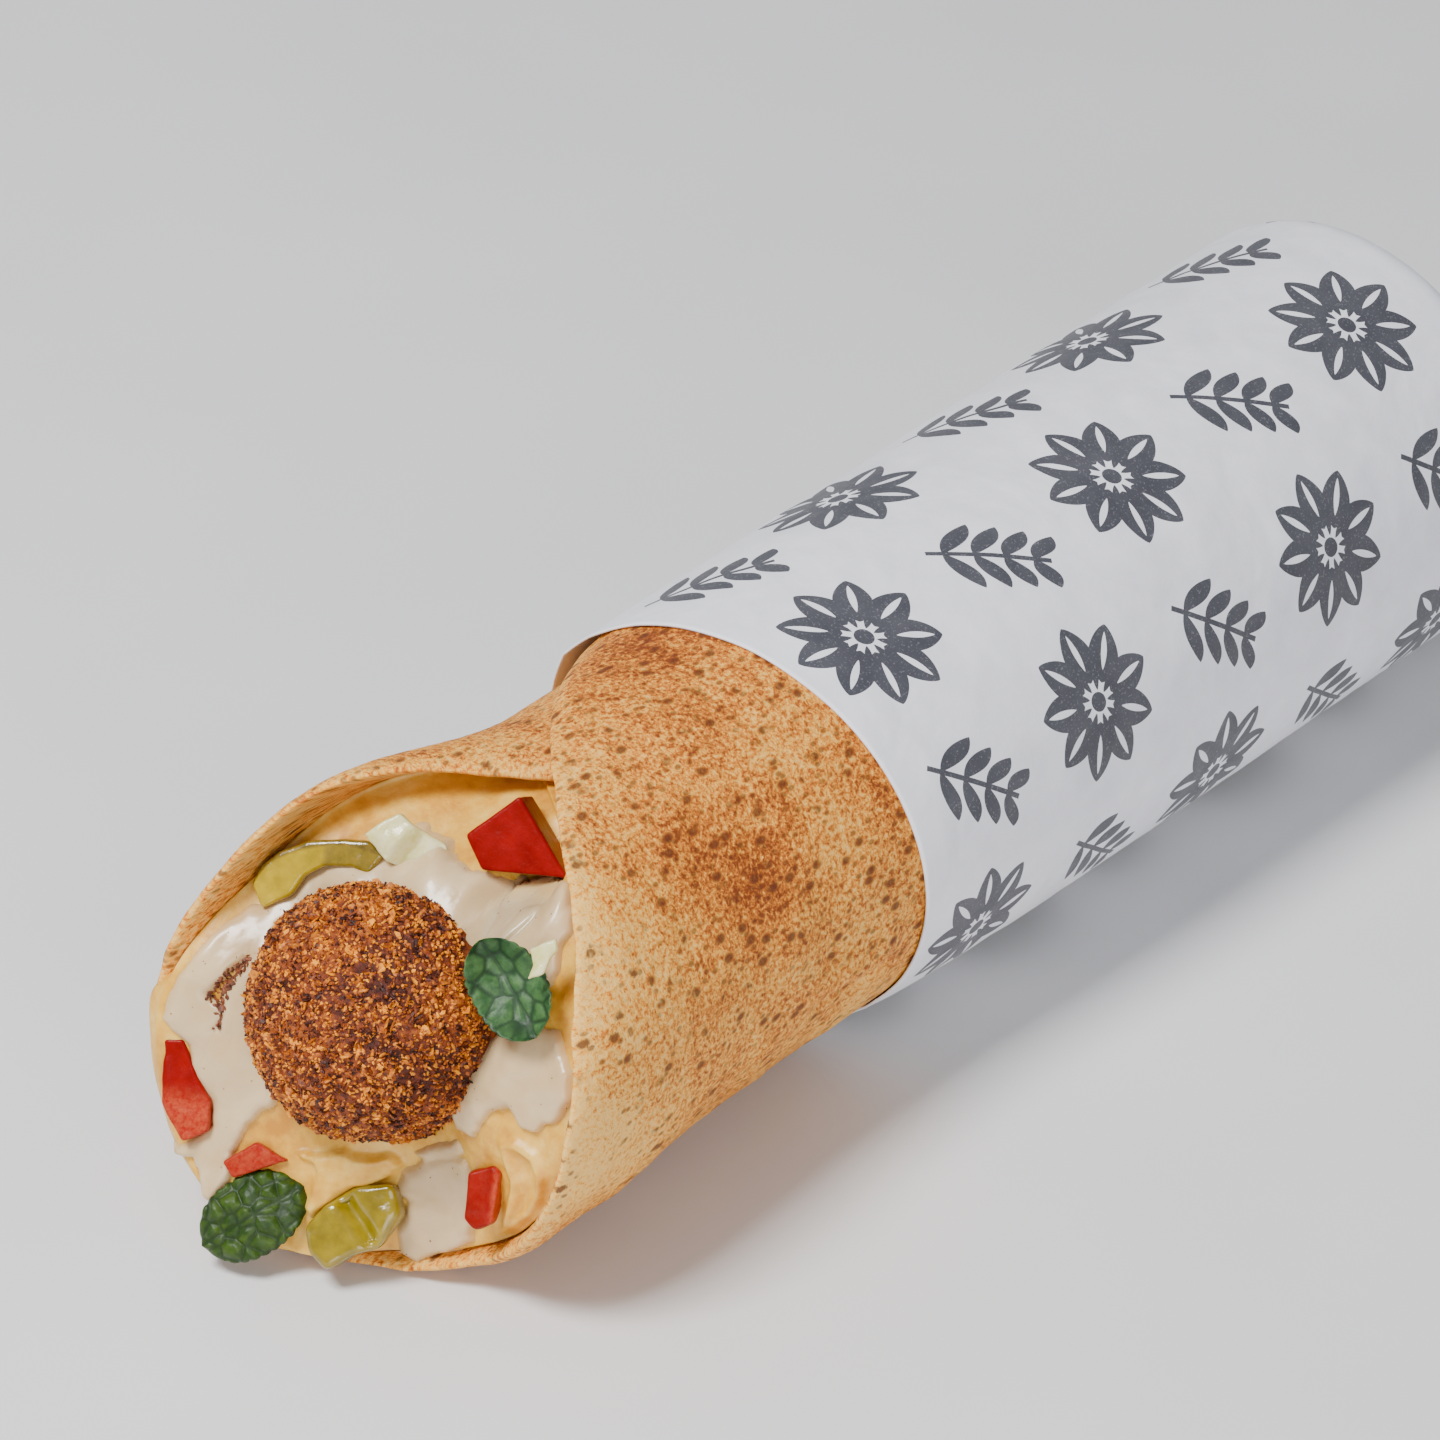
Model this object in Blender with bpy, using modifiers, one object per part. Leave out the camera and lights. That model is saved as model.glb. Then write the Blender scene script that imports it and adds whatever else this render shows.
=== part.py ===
"""A falafel pita: a flatbread rolled round its filling, with a paper sleeve on the closed end.

The roll lies along X with its open end towards -X. Lengths are in millimetres, and the
empty that carries every piece scales them to metres. The origin is on the table, under
the middle of the roll's box.
"""

import math

import bmesh
import bpy
from mathutils import Matrix, Vector, noise

MM = 0.001

# The roll as a whole
AXIS_HEIGHT = 33.9
MIDDLE_X = 26.9
CLEARANCE = 0.35
ROOM_MARGIN = 0.1

# The flatbread, rolled as a spiral that starts inside and ends as the outer flap
BREAD_THICKNESS = 3.0
BREAD_INNER_RADIUS = 26.6
LAYER_GAP = 0.4
BREAD_TURN = 425.0
START_ANGLE = 104.0
BREAD_BACK_X = 141.0
BREAD_EDGE = 1.1
BREAD_TURN_STEPS = 62
BREAD_LENGTH_STEPS = 10
# Above 1, this crowds the rows of the grid towards the open end
BREAD_ROW_CROWDING = 1.7
BREAD_FLOOR_GAP = 0.25
FLARE = 4.2
FLARE_LOSS = 1.9
# The upper left of the rim opens further: by how much, at which degree of roll, how broadly
FLARE_BULGE = 3.4
FLARE_BULGE_TURN = 50.0
FLARE_BULGE_WIDTH = 16.0
BREAD_PUFF = 0.9
# The bread's front edge: (degrees of roll, x), from the hidden start to the outer flap
BREAD_FRONT = [
    (0, -34), (33, -46), (50, -60), (66, -73.5), (95, -82), (155, -84.5), (180, -83.5),
    (200, -78), (225, -73), (260, -73.5), (300, -69), (330, -59), (360, -45.5),
    (390, -27), (412, -9), (425, 0),
]

# The filling's edge against the bread: (degrees of roll, x), one full turn
FILLING_EDGE = [
    (0, -42), (33, -36), (65, -60), (92, -80.5), (120, -86.5), (155, -88.5), (185, -85),
    (205, -75), (225, -70.5), (255, -70), (290, -66), (316, -58), (340, -50), (360, -42),
]
FILLING_CENTRE_X = -70.0
FILLING_BACK_X = 140.0
FILLING_GAP = 0.8
FILLING_LIP = 2.9
FILLING_SEGMENTS = 48
FILLING_RINGS = 24
FILLING_FACE_RINGS = 10
FILLING_BACK_RINGS = 2

# The paper sleeve
PAPER_RADIUS = 34.45
PAPER_WALL = 0.5
PAPER_END_X = 147.5
PAPER_CORNER = 6.0
PAPER_MOUTH_SLANT = (-5.3, -1.4)
PAPER_SEGMENTS = 48
PAPER_RINGS = 13
PAPER_TUBE_RINGS = 4
PAPER_CORNER_RINGS = 4
PAPER_PLEATS = 12
PAPER_PLEAT_DEPTH = 0.9
PAPER_END_DISH = 1.2

# The falafel ball, half sunk in the filling
FALAFEL_RADIUS = 18.6
FALAFEL_SEGMENTS = 34
FALAFEL_RINGS = 20
BALL_ROOM_SEGMENTS = 32
BALL_ROOM_RINGS = 18
FALAFEL_CRAGS = 1.2
FALAFEL_SEAT = (3.9, 3.9)
FALAFEL_SINK = 0.0

# The toppings: each seat is (across, up) from the roll's axis, and lift is how far its front
# stands off the filling. Outlines are (right, up) on a plane that faces out of the open end.
TOPPING_FACING = (-0.75, -0.38, 0.54)
CHUNKS = {
    "tomato_dice_top": {
        "seat": (-4.4, 22.0), "lift": 3.5, "depth": 8.0, "finish": "tomato",
        "outline": [(-5, 2), (2, 8.5), (10.5, -2), (-2, -2.5)],
    },
    "tomato_dice_left": {
        "seat": (25.6, -11.1), "lift": 2.2, "depth": 3.0, "finish": "tomato",
        "outline": [(-3.8, 7), (-1, 7.4), (1.5, 2.5), (4, -0.5), (4.2, -5), (0.5, -7), (-3.2, -2)],
    },
    "tomato_dice_low_left": {
        "seat": (14.1, -18.4), "lift": 2.2, "depth": 3.0, "finish": "tomato",
        "outline": [(-4.5, -1), (0, 2.5), (5, 0.5), (-2.8, -3.2)],
    },
    "tomato_dice_low_right": {
        "seat": (-18.6, -15.2), "lift": 3.0, "depth": 3.5, "finish": "tomato",
        "outline": [(-2.5, 3), (1, 4.5), (2.2, 3.5), (2, -3.5), (-0.5, -5), (-2.2, -3.5)],
    },
    "pickle_slice_top": {
        "seat": (21.2, 16.2), "lift": 4.0, "depth": 3.5, "finish": "pickle",
        "outline": [
            (-7.2, -3.6), (-6.0, -0.9), (-4.0, 1.3), (0.2, 3.4), (5.4, 4.4), (8.8, 4.6),
            (11.3, 2.8), (9.4, -0.4), (6.8, 0.5), (2.8, 0), (0.4, -1.6), (-1.2, -4.6), (-5.2, -7),
        ],
    },
    "pickle_slice_low": {
        "seat": (0.8, -24.8), "lift": 3.6, "depth": 5.0, "finish": "pickle",
        "outline": [
            (-6.5, -1), (-4, 2.5), (0, 6), (5.5, 7), (7, 3), (4.5, -2), (1, -3.8),
            (-2.5, -6.5), (-5.5, -4.6),
        ],
    },
    "cabbage_piece_top": {
        "seat": (9.2, 18.9), "lift": 3.7, "depth": 1.6, "finish": "cabbage",
        "outline": [
            (-5.5, 2.5), (-3, 4.8), (-1, 6), (2, 4), (5.5, 2.5), (7, -0.5), (5.5, -4.5),
            (2.5, -2.5), (-2, -1),
        ],
    },
    "cabbage_piece_right": {
        "seat": (-20.9, 16.8), "lift": 7.4, "depth": 1.2, "finish": "cabbage",
        "outline": [(-2, 1.5), (1.5, 3.5), (2, 2), (1, 0.5), (0.5, -1.5), (-1.8, -2.8), (-1.2, -0.5)],
    },
}
CHUNK_EDGE = 0.45
# Each mint leaf: its length, width and thickness, how it is turned, bent end to end and cupped
LEAVES = {
    "mint_leaf_right": {
        "seat": (-14.8, 14.0), "lift": 3.4, "length": 15.5, "width": 10.5, "spin": -52.0,
        "bend": 2.2, "cup": 2.0,
    },
    "mint_leaf_left": {
        "seat": (12.0, -25.4), "lift": 3.0, "length": 17.0, "width": 11.0, "spin": 38.0,
        "bend": -1.6, "cup": -1.0,
    },
}
LEAF_THICKNESS = 0.6
LEAF_RIPPLE = 0.35

# The tahini round it
TAHINI_HEIGHT = 2.2
TAHINI_SUNK = 0.9
TAHINI_BANDS = {"tahini_left": (-76.0, 24.0), "tahini_right": (30.0, 206.0)}
TAHINI_RING_DEGREES = 6.0
TAHINI_SEGMENTS = 14
# The smaller pool below it: its middle (across, up) from the roll's axis, and its size
POOL_SEAT = (-10.0, -21.0)
POOL_HALF_WIDTH = 7.5
POOL_HALF_HEIGHT = 6.0
POOL_SEGMENTS = 24
POOL_RINGS = 12
# Share of the way from the falafel to the bread: (degrees round the falafel, share)
TAHINI_REACH = [
    (-76, 1.10), (-60, 1.16), (-45, 0.98), (-20, 0.86), (15, 0.80), (45, 0.72), (75, 0.74),
    (100, 0.88), (130, 0.95), (160, 0.96), (185, 0.92), (206, 0.75),
]


def smooth_step(value):
    """0 below 0, 1 above 1, and a smooth ramp between."""
    value = min(1.0, max(0.0, value))
    return value * value * (3 - 2 * value)


def through(points):
    """A smooth function that passes through (position, value) points."""
    slopes = []
    for i in range(len(points)):
        before = points[max(i - 1, 0)]
        after = points[min(i + 1, len(points) - 1)]
        slopes.append((after[1] - before[1]) / (after[0] - before[0]))

    def value_at(position):
        position = min(points[-1][0], max(points[0][0], position))
        i = 0
        while i < len(points) - 2 and position > points[i + 1][0]:
            i += 1
        (x0, y0), (x1, y1) = points[i], points[i + 1]
        span = x1 - x0
        t = (position - x0) / span
        return (
            y0 * (1 + 2 * t) * (1 - t) ** 2
            + y1 * t * t * (3 - 2 * t)
            + slopes[i] * span * t * (1 - t) ** 2
            - slopes[i + 1] * span * t * t * (1 - t)
        )

    return value_at


bread_front = through(BREAD_FRONT)
filling_edge = through(FILLING_EDGE)
tahini_reach = through(TAHINI_REACH)


def roll_point(x, radius, turn):
    """A point at a degree of roll, counted from the bread's inner edge over the top to the back."""
    angle = math.radians(START_ANGLE - turn)
    return Vector((x, radius * math.cos(angle), AXIS_HEIGHT + radius * math.sin(angle)))


def flare(x, turn):
    """How far the bread opens outwards towards its front edge."""
    opening = smooth_step((-22 - x) / 44) * smooth_step((turn - 10) / 32)
    bulge = FLARE_BULGE * math.exp(-(((turn - FLARE_BULGE_TURN) / FLARE_BULGE_WIDTH) ** 2))
    return opening * (FLARE + bulge - FLARE_LOSS * smooth_step((turn - 80) / 160))


def bread_radius(x, turn):
    """The radius of the bread's inner face."""
    growth = (BREAD_THICKNESS + LAYER_GAP) * turn / 360
    return BREAD_INNER_RADIUS + growth + flare(x, turn)


def wall_radius(x, turn):
    """The filling's own radius, which narrows beside the bread's inner edge."""
    step = (BREAD_THICKNESS + LAYER_GAP) * smooth_step((turn - 344) / 12)
    return bread_radius(x, turn) - FILLING_GAP - step


def turn_of(y, height):
    """The degree of roll of a point of the section."""
    return (START_ANGLE - math.degrees(math.atan2(height, y))) % 360


def face_x(y, height):
    """The filling's front face over a point of the section, measured from the axis."""
    turn = turn_of(y, height)
    edge = filling_edge(turn)
    reach = min(1.0, math.hypot(y, height) / wall_radius(edge, turn))
    brow = smooth_step((turn - 318) / 30) + smooth_step((85 - turn) / 40)
    dip = reach ** (1.0 + 2.2 * brow)
    swirl = 0.7 * noise.noise(Vector((y / 7, height / 7, 3.1)))
    return FILLING_CENTRE_X + (edge - FILLING_CENTRE_X) * dip + swirl * reach


def on_face(y, height, lift=0.0):
    """A point that stands off the filling's face by lift, and the face's outward normal there."""
    span = 3.0
    slope_y = (face_x(y + span, height) - face_x(y - span, height)) / (2 * span)
    slope_z = (face_x(y, height + span) - face_x(y, height - span)) / (2 * span)
    normal = Vector((-1, slope_y, slope_z)).normalized()
    point = Vector((face_x(y, height), y, AXIS_HEIGHT + height))
    return point + normal * lift, normal


def seat(y, height, lift, spin=0.0):
    """Where a topping lies: its Z axis points out of the open end and its Y axis up."""
    point = on_face(y, height, lift)[0]
    outward = Vector(TOPPING_FACING).normalized()
    across = Vector((0, 0, 1)).cross(outward).normalized()
    upward = outward.cross(across)
    basis = Matrix((across, upward, outward)).transposed().to_4x4()
    return Matrix.Translation(point) @ basis @ Matrix.Rotation(math.radians(spin), 4, "Z")


def material(name, colour, roughness):
    """A plain finish."""
    made = bpy.data.materials.new(name)
    made.use_nodes = True
    shader = made.node_tree.nodes["Principled BSDF"]
    shader.inputs["Base Color"].default_value = (*colour, 1.0)
    shader.inputs["Roughness"].default_value = roughness
    return made


def add_object(name, mesh_builder, finish, collection, parent):
    """Turns a bmesh into a named object whose faces point outwards."""
    if mesh_builder.calc_volume(signed=True) < 0:
        bmesh.ops.reverse_faces(mesh_builder, faces=mesh_builder.faces)
    mesh = bpy.data.meshes.new(name)
    mesh_builder.to_mesh(mesh)
    mesh_builder.free()
    mesh.shade_smooth()
    made = bpy.data.objects.new(name, mesh)
    made.data.materials.append(finish)
    made.parent = parent
    collection.objects.link(made)
    return made


def solidify(made, thickness, offset):
    """Gives an open surface its thickness."""
    modifier = made.modifiers.new("Thickness", "SOLIDIFY")
    modifier.thickness = thickness
    modifier.offset = offset
    modifier.use_even_offset = True


def round_edges(made, width, segments):
    """Rounds the sharp edges."""
    modifier = made.modifiers.new("Soft edges", "BEVEL")
    modifier.width = width
    modifier.segments = segments
    modifier.limit_method = "ANGLE"
    modifier.angle_limit = math.radians(40)


def cut(made, cutters):
    """Cuts the cutters' shapes out of an object."""
    for cutter in cutters:
        modifier = made.modifiers.new(f"Room for {cutter.name}", "BOOLEAN")
        modifier.operation = "DIFFERENCE"
        modifier.object = cutter
        modifier.solver = "MANIFOLD"


def settle_cuts(made):
    """Applies an object's cuts and drops the loose scraps that they leave."""
    graph = bpy.context.evaluated_depsgraph_get()
    mesh = bpy.data.meshes.new_from_object(made.evaluated_get(graph))
    made.modifiers.clear()
    made.data = mesh
    builder = bmesh.new()
    builder.from_mesh(mesh)
    bodies = []
    waiting = set(builder.faces)
    while waiting:
        body = {waiting.pop()}
        front = list(body)
        while front:
            edges = front.pop().edges
            near = {face for edge in edges for face in edge.link_faces} & waiting
            waiting -= near
            body |= near
            front += near
        bodies.append(body)
    bodies.sort(key=len)
    for scrap in bodies[:-1]:
        bmesh.ops.delete(builder, geom=list(scrap), context="FACES")
    builder.to_mesh(mesh)
    builder.free()


def make_bread(finish, collection, parent):
    """The flat sheet of bread, rolled up and given its thickness."""
    sheet = bmesh.new()
    bmesh.ops.create_grid(
        sheet, x_segments=BREAD_TURN_STEPS, y_segments=BREAD_LENGTH_STEPS, size=0.5
    )
    lowest = BREAD_THICKNESS / 2 + BREAD_FLOOR_GAP
    for vertex in sheet.verts:
        turn = (vertex.co.x + 0.5) * BREAD_TURN
        along = (vertex.co.y + 0.5) ** BREAD_ROW_CROWDING
        x = bread_front(turn) + (BREAD_BACK_X - bread_front(turn)) * along
        puff = BREAD_PUFF * max(0.0, noise.noise(Vector((x / 16, turn / 24, 0.0))))
        puff *= smooth_step((-8 - x) / 10) * smooth_step((turn - 90) / 20)
        radius = bread_radius(x, turn) + BREAD_THICKNESS / 2 + puff
        vertex.co = roll_point(x, radius, turn)
        vertex.co.z = max(vertex.co.z, lowest)
    bread = add_object("pita_bread", sheet, finish, collection, parent)
    solidify(bread, BREAD_THICKNESS, 0)
    round_edges(bread, BREAD_EDGE, 2)
    return bread


def make_paper(finish, collection, parent):
    """The sleeve: a ball whose rings become the tube, its rounded corner and its folded end."""
    ball = bmesh.new()
    bmesh.ops.create_uvsphere(ball, u_segments=PAPER_SEGMENTS, v_segments=PAPER_RINGS, radius=1)
    mouth_pole = max(ball.verts, key=lambda vertex: vertex.co.z)
    bmesh.ops.delete(ball, geom=[mouth_pole], context="VERTS")
    disc_rings = PAPER_RINGS - PAPER_TUBE_RINGS - PAPER_CORNER_RINGS
    for vertex in ball.verts:
        ring = round(math.acos(max(-1.0, min(1.0, vertex.co.z))) / math.pi * PAPER_RINGS)
        angle = math.atan2(vertex.co.y, vertex.co.x)
        slant_y, slant_z = PAPER_MOUTH_SLANT
        mouth_x = slant_y * math.cos(angle) + slant_z * math.sin(angle)
        tube_end = PAPER_END_X - PAPER_CORNER
        if ring <= PAPER_TUBE_RINGS:
            share = (ring - 1) / (PAPER_TUBE_RINGS - 1)
            x = mouth_x + (tube_end - mouth_x) * share
            radius = PAPER_RADIUS
        elif ring <= PAPER_TUBE_RINGS + PAPER_CORNER_RINGS:
            bend = math.pi / 2 * (ring - PAPER_TUBE_RINGS) / PAPER_CORNER_RINGS
            x = tube_end + PAPER_CORNER * math.sin(bend)
            radius = PAPER_RADIUS - PAPER_CORNER * (1 - math.cos(bend))
        else:
            share = (PAPER_RINGS - ring) / disc_rings
            radius = (PAPER_RADIUS - PAPER_CORNER) * share
            pleat = PAPER_PLEAT_DEPTH * math.cos(PAPER_PLEATS * angle) * share * (1 - share) * 4
            x = PAPER_END_X - PAPER_END_DISH * (1 - share) - max(0.0, pleat)
        height = max(radius * math.sin(angle), -AXIS_HEIGHT)
        vertex.co = Vector((x, radius * math.cos(angle), AXIS_HEIGHT + height))
    paper = add_object("paper_sleeve", ball, finish, collection, parent)
    solidify(paper, PAPER_WALL, -1)
    return paper


def lip_share(turn):
    """1 where the filling spills over the bread's rim, 0 where the bread stands proud of it."""
    ahead = bread_front(turn) - filling_edge(turn)
    return smooth_step((ahead - 0.8) / 1.8) * smooth_step((turn - 70) / 20)


def make_filling(finish, collection, parent):
    """The hummus core: a ball whose rings become the slanted face, the long side and the back."""
    ball = bmesh.new()
    bmesh.ops.create_uvsphere(
        ball, u_segments=FILLING_SEGMENTS, v_segments=FILLING_RINGS, radius=1
    )
    side_rings = FILLING_RINGS - FILLING_BACK_RINGS - FILLING_FACE_RINGS - 3
    for vertex in ball.verts:
        ring = round(math.acos(max(-1.0, min(1.0, vertex.co.z))) / math.pi * FILLING_RINGS)
        angle = math.atan2(vertex.co.y, vertex.co.x)
        turn = (START_ANGLE - math.degrees(angle)) % 360
        edge = filling_edge(turn)
        lip = lip_share(turn)
        rim = max(edge + 1.7, edge + 2.5 + (bread_front(turn) - 3.2 - edge) * lip)
        if ring <= FILLING_FACE_RINGS:
            radius = wall_radius(edge, turn) * (ring / FILLING_FACE_RINGS) ** 0.8
            x = face_x(radius * math.cos(angle), radius * math.sin(angle))
        elif ring == FILLING_FACE_RINGS + 1:
            radius = wall_radius(edge, turn) + FILLING_LIP * lip
            x = edge + 1.0
        elif ring == FILLING_FACE_RINGS + 2:
            radius = wall_radius(rim, turn) + (FILLING_LIP - 0.4) * lip
            x = rim
        elif ring <= FILLING_FACE_RINGS + 3 + side_rings:
            share = (ring - FILLING_FACE_RINGS - 3) / side_rings
            x = rim + 0.5 + (FILLING_BACK_X - rim - 0.5) * share**1.5
            radius = wall_radius(x, turn)
        else:
            radius = wall_radius(0, turn) * (FILLING_RINGS - ring) / FILLING_BACK_RINGS
            x = FILLING_BACK_X
        vertex.co = roll_point(x, radius, turn)
        vertex.co.z = max(vertex.co.z, BREAD_THICKNESS + 0.75)
    return add_object("hummus_filling", ball, finish, collection, parent)


def falafel_place():
    """The middle of the falafel ball."""
    return on_face(*FALAFEL_SEAT, -FALAFEL_SINK)[0]


def make_falafel(finish, collection, parent):
    """The ball, with crags worked inwards from its outer radius."""
    ball = bmesh.new()
    bmesh.ops.create_uvsphere(
        ball, u_segments=FALAFEL_SEGMENTS, v_segments=FALAFEL_RINGS, radius=FALAFEL_RADIUS
    )
    for vertex in ball.verts:
        broad = noise.noise(vertex.co / 9)
        fine = noise.noise(vertex.co / 3.2 + Vector((5, 1, 2)))
        depth = FALAFEL_CRAGS * min(1.0, max(0.0, 0.5 + 0.7 * broad + 0.8 * fine))
        vertex.co *= 1 - depth / FALAFEL_RADIUS
    falafel = add_object("falafel_ball", ball, finish, collection, parent)
    falafel.location = falafel_place()
    return falafel


def room_for(piece, cutters):
    """A copy of a piece, grown by the clearance, that cuts its room out of its neighbours."""
    room = piece.copy()
    room.name = f"room_{piece.name}"
    growth = room.modifiers.new("Clearance", "DISPLACE")
    growth.strength = CLEARANCE + ROOM_MARGIN
    growth.mid_level = 0
    cutters.objects.link(room)
    return room


def make_ball_room(cutters, parent):
    """A smooth ball that the falafel's crags stay inside."""
    ball = bmesh.new()
    bmesh.ops.create_uvsphere(
        ball,
        u_segments=BALL_ROOM_SEGMENTS,
        v_segments=BALL_ROOM_RINGS,
        radius=FALAFEL_RADIUS + CLEARANCE,
    )
    plain = material("cutter", (0.5, 0.5, 0.5), 0.5)
    room = add_object("room_falafel_ball", ball, plain, cutters, parent)
    room.location = falafel_place()
    return room


def make_chunk(name, chunk, finish, collection, parent):
    """A cut piece of vegetable: an outline with its depth and slightly rounded edges."""
    outline = bmesh.new()
    corners = chunk["outline"]
    bmesh.ops.create_circle(outline, cap_ends=True, segments=len(corners), radius=1)
    outline.verts.ensure_lookup_table()
    by_angle = sorted(outline.verts, key=lambda vertex: math.atan2(vertex.co.y, vertex.co.x))
    anticlockwise = list(reversed(corners))
    for vertex, (right, up) in zip(by_angle, anticlockwise):
        vertex.co = Vector((right, up, 0))
    made = add_object(name, outline, finish, collection, parent)
    solidify(made, chunk["depth"], -1 if made.data.polygons[0].normal.z > 0 else 1)
    round_edges(made, CHUNK_EDGE, 1)
    made.matrix_basis = seat(*chunk["seat"], chunk["lift"])
    return made


def make_leaf(name, leaf, finish, collection, parent):
    """A thin mint leaf: a grid drawn into an outline, bent, cupped and rippled."""
    sheet = bmesh.new()
    bmesh.ops.create_grid(sheet, x_segments=10, y_segments=4, size=1)
    for vertex in sheet.verts:
        along, across = vertex.co.x, vertex.co.y
        half_width = leaf["width"] / 2 * max(0.1, 1 - abs(along) ** 2.4) ** 0.6
        ripple = LEAF_RIPPLE * math.sin(5.5 * along + 1.3) * math.cos(4.0 * across)
        lift = leaf["bend"] * along**2 + leaf["cup"] * across**2 + ripple
        vertex.co = Vector((leaf["length"] / 2 * along, half_width * across, lift))
    bmesh.ops.triangulate(sheet, faces=sheet.faces)
    made = add_object(name, sheet, finish, collection, parent)
    solidify(made, LEAF_THICKNESS, 0)
    made.matrix_basis = seat(*leaf["seat"], leaf["lift"], leaf["spin"])
    return made


def tahini_span(bearing):
    """How far from the falafel's middle the tahini starts and the bread stands, along a bearing."""
    middle = falafel_place()
    direction = Vector((math.cos(math.radians(bearing)), math.sin(math.radians(bearing))))
    centre = Vector(FALAFEL_SEAT)
    start = 6.0
    while start < FALAFEL_RADIUS:
        spot = centre + direction * start
        if (on_face(spot.x, spot.y)[0] - middle).length > FALAFEL_RADIUS - 1.5:
            break
        start += 0.25
    wall = start
    while wall < 60:
        spot = centre + direction * wall
        turn = turn_of(spot.x, spot.y)
        if spot.length > wall_radius(filling_edge(turn), turn) - 0.2:
            break
        wall += 0.25
    return start, wall


def make_tahini(name, ends, finish, collection, parent):
    """Sauce round part of the falafel: a ball drawn out into a bent band with a flat underside."""
    ball = bmesh.new()
    rings = round((ends[1] - ends[0]) / TAHINI_RING_DEGREES)
    bmesh.ops.create_uvsphere(ball, u_segments=TAHINI_SEGMENTS, v_segments=rings, radius=1)
    centre = Vector(FALAFEL_SEAT)
    spans = {}
    for ring in range(rings + 1):
        bearing = ends[0] + (ends[1] - ends[0]) * ring / rings
        spans[ring] = (bearing, *tahini_span(bearing))
    for vertex in ball.verts:
        ring = round(math.acos(max(-1.0, min(1.0, vertex.co.z))) / math.pi * rings)
        around = math.atan2(vertex.co.y, vertex.co.x)
        bearing, start, wall = spans[ring]
        end = start + (wall - start) * tahini_reach(bearing)
        rounding = math.sqrt(max(0.0, 1 - abs(2 * ring / rings - 1) ** 10))
        across = (start + end) / 2 + (end - start) / 2 * math.cos(around) * rounding
        height = TAHINI_HEIGHT * max(0.0, math.sin(around)) ** 0.6 * rounding
        height -= TAHINI_SUNK * max(0.0, -math.sin(around)) ** 0.3
        direction = Vector((math.cos(math.radians(bearing)), math.sin(math.radians(bearing))))
        spot = centre + direction * across
        vertex.co = on_face(spot.x, spot.y, height)[0]
    return add_object(name, ball, finish, collection, parent)


def make_tahini_pool(finish, collection, parent):
    """The smaller pool of sauce below the falafel, beside the pickle."""
    ball = bmesh.new()
    bmesh.ops.create_uvsphere(ball, u_segments=POOL_SEGMENTS, v_segments=POOL_RINGS, radius=1)
    centre = Vector(POOL_SEAT)
    for vertex in ball.verts:
        around = math.atan2(vertex.co.y, vertex.co.x)
        reach = math.hypot(vertex.co.x, vertex.co.y)
        edge = 1 + 0.16 * math.sin(3 * around + 0.6) + 0.08 * math.sin(7 * around)
        spot = centre + Vector((
            POOL_HALF_WIDTH * edge * reach * math.cos(around),
            POOL_HALF_HEIGHT * edge * reach * math.sin(around),
        ))
        height = vertex.co.z * (TAHINI_HEIGHT if vertex.co.z > 0 else TAHINI_SUNK)
        vertex.co = on_face(spot.x, spot.y, height)[0]
    return add_object("tahini_pool", ball, finish, collection, parent)


def main():
    for old in list(bpy.data.objects):
        bpy.data.objects.remove(old)
    pieces = bpy.data.collections.new("falafel_pita")
    cutters = bpy.data.collections.new("cutters")
    for group in (pieces, cutters):
        bpy.context.scene.collection.children.link(group)
    carrier = bpy.data.objects.new("carrier", None)
    carrier.location = (-MIDDLE_X * MM, 0, 0)
    carrier.scale = (MM, MM, MM)
    pieces.objects.link(carrier)

    finishes = {
        "bread": material("toasted_bread", (0.66, 0.36, 0.13), 0.75),
        "paper": material("white_paper", (0.80, 0.80, 0.83), 0.55),
        "hummus": material("hummus", (0.78, 0.60, 0.36), 0.5),
        "crust": material("fried_crust", (0.33, 0.12, 0.03), 0.8),
        "tahini": material("tahini_sauce", (0.76, 0.68, 0.55), 0.3),
        "tomato": material("tomato_flesh", (0.50, 0.02, 0.01), 0.25),
        "pickle": material("pickled_cucumber", (0.42, 0.34, 0.05), 0.3),
        "cabbage": material("white_cabbage", (0.70, 0.68, 0.45), 0.35),
        "mint": material("mint_leaf", (0.04, 0.11, 0.02), 0.45),
    }
    make_bread(finishes["bread"], pieces, carrier)
    make_paper(finishes["paper"], pieces, carrier)
    filling = make_filling(finishes["hummus"], pieces, carrier)
    make_falafel(finishes["crust"], pieces, carrier)
    sauces = [
        make_tahini(name, ends, finishes["tahini"], pieces, carrier)
        for name, ends in TAHINI_BANDS.items()
    ]
    sauces.append(make_tahini_pool(finishes["tahini"], pieces, carrier))
    toppings = [
        make_chunk(name, chunk, finishes[chunk["finish"]], pieces, carrier)
        for name, chunk in CHUNKS.items()
    ]
    toppings += [
        make_leaf(name, leaf, finishes["mint"], pieces, carrier) for name, leaf in LEAVES.items()
    ]

    rooms = [make_ball_room(cutters, carrier)]
    rooms += [room_for(topping, cutters) for topping in toppings]
    cut(filling, rooms + [room_for(sauce, cutters) for sauce in sauces])
    for sauce in sauces:
        cut(sauce, rooms)
    for piece in (filling, *sauces):
        settle_cuts(piece)
    for cutter in cutters.objects:
        cutter.hide_render = True
        cutter.display_type = "WIRE"


main()
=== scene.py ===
# %% [markdown]
# # A falafel pita
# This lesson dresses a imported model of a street-food wrap: a flatbread rolled round hummus,
# a falafel ball, sauce and salad, in a printed paper sleeve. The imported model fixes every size
# and place. Each piece here is a finer mesh in the same place, with a procedural finish.

import itertools
import math

import bmesh
import bpy
import numpy as np
from mathutils import Matrix, Vector, noise


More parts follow.
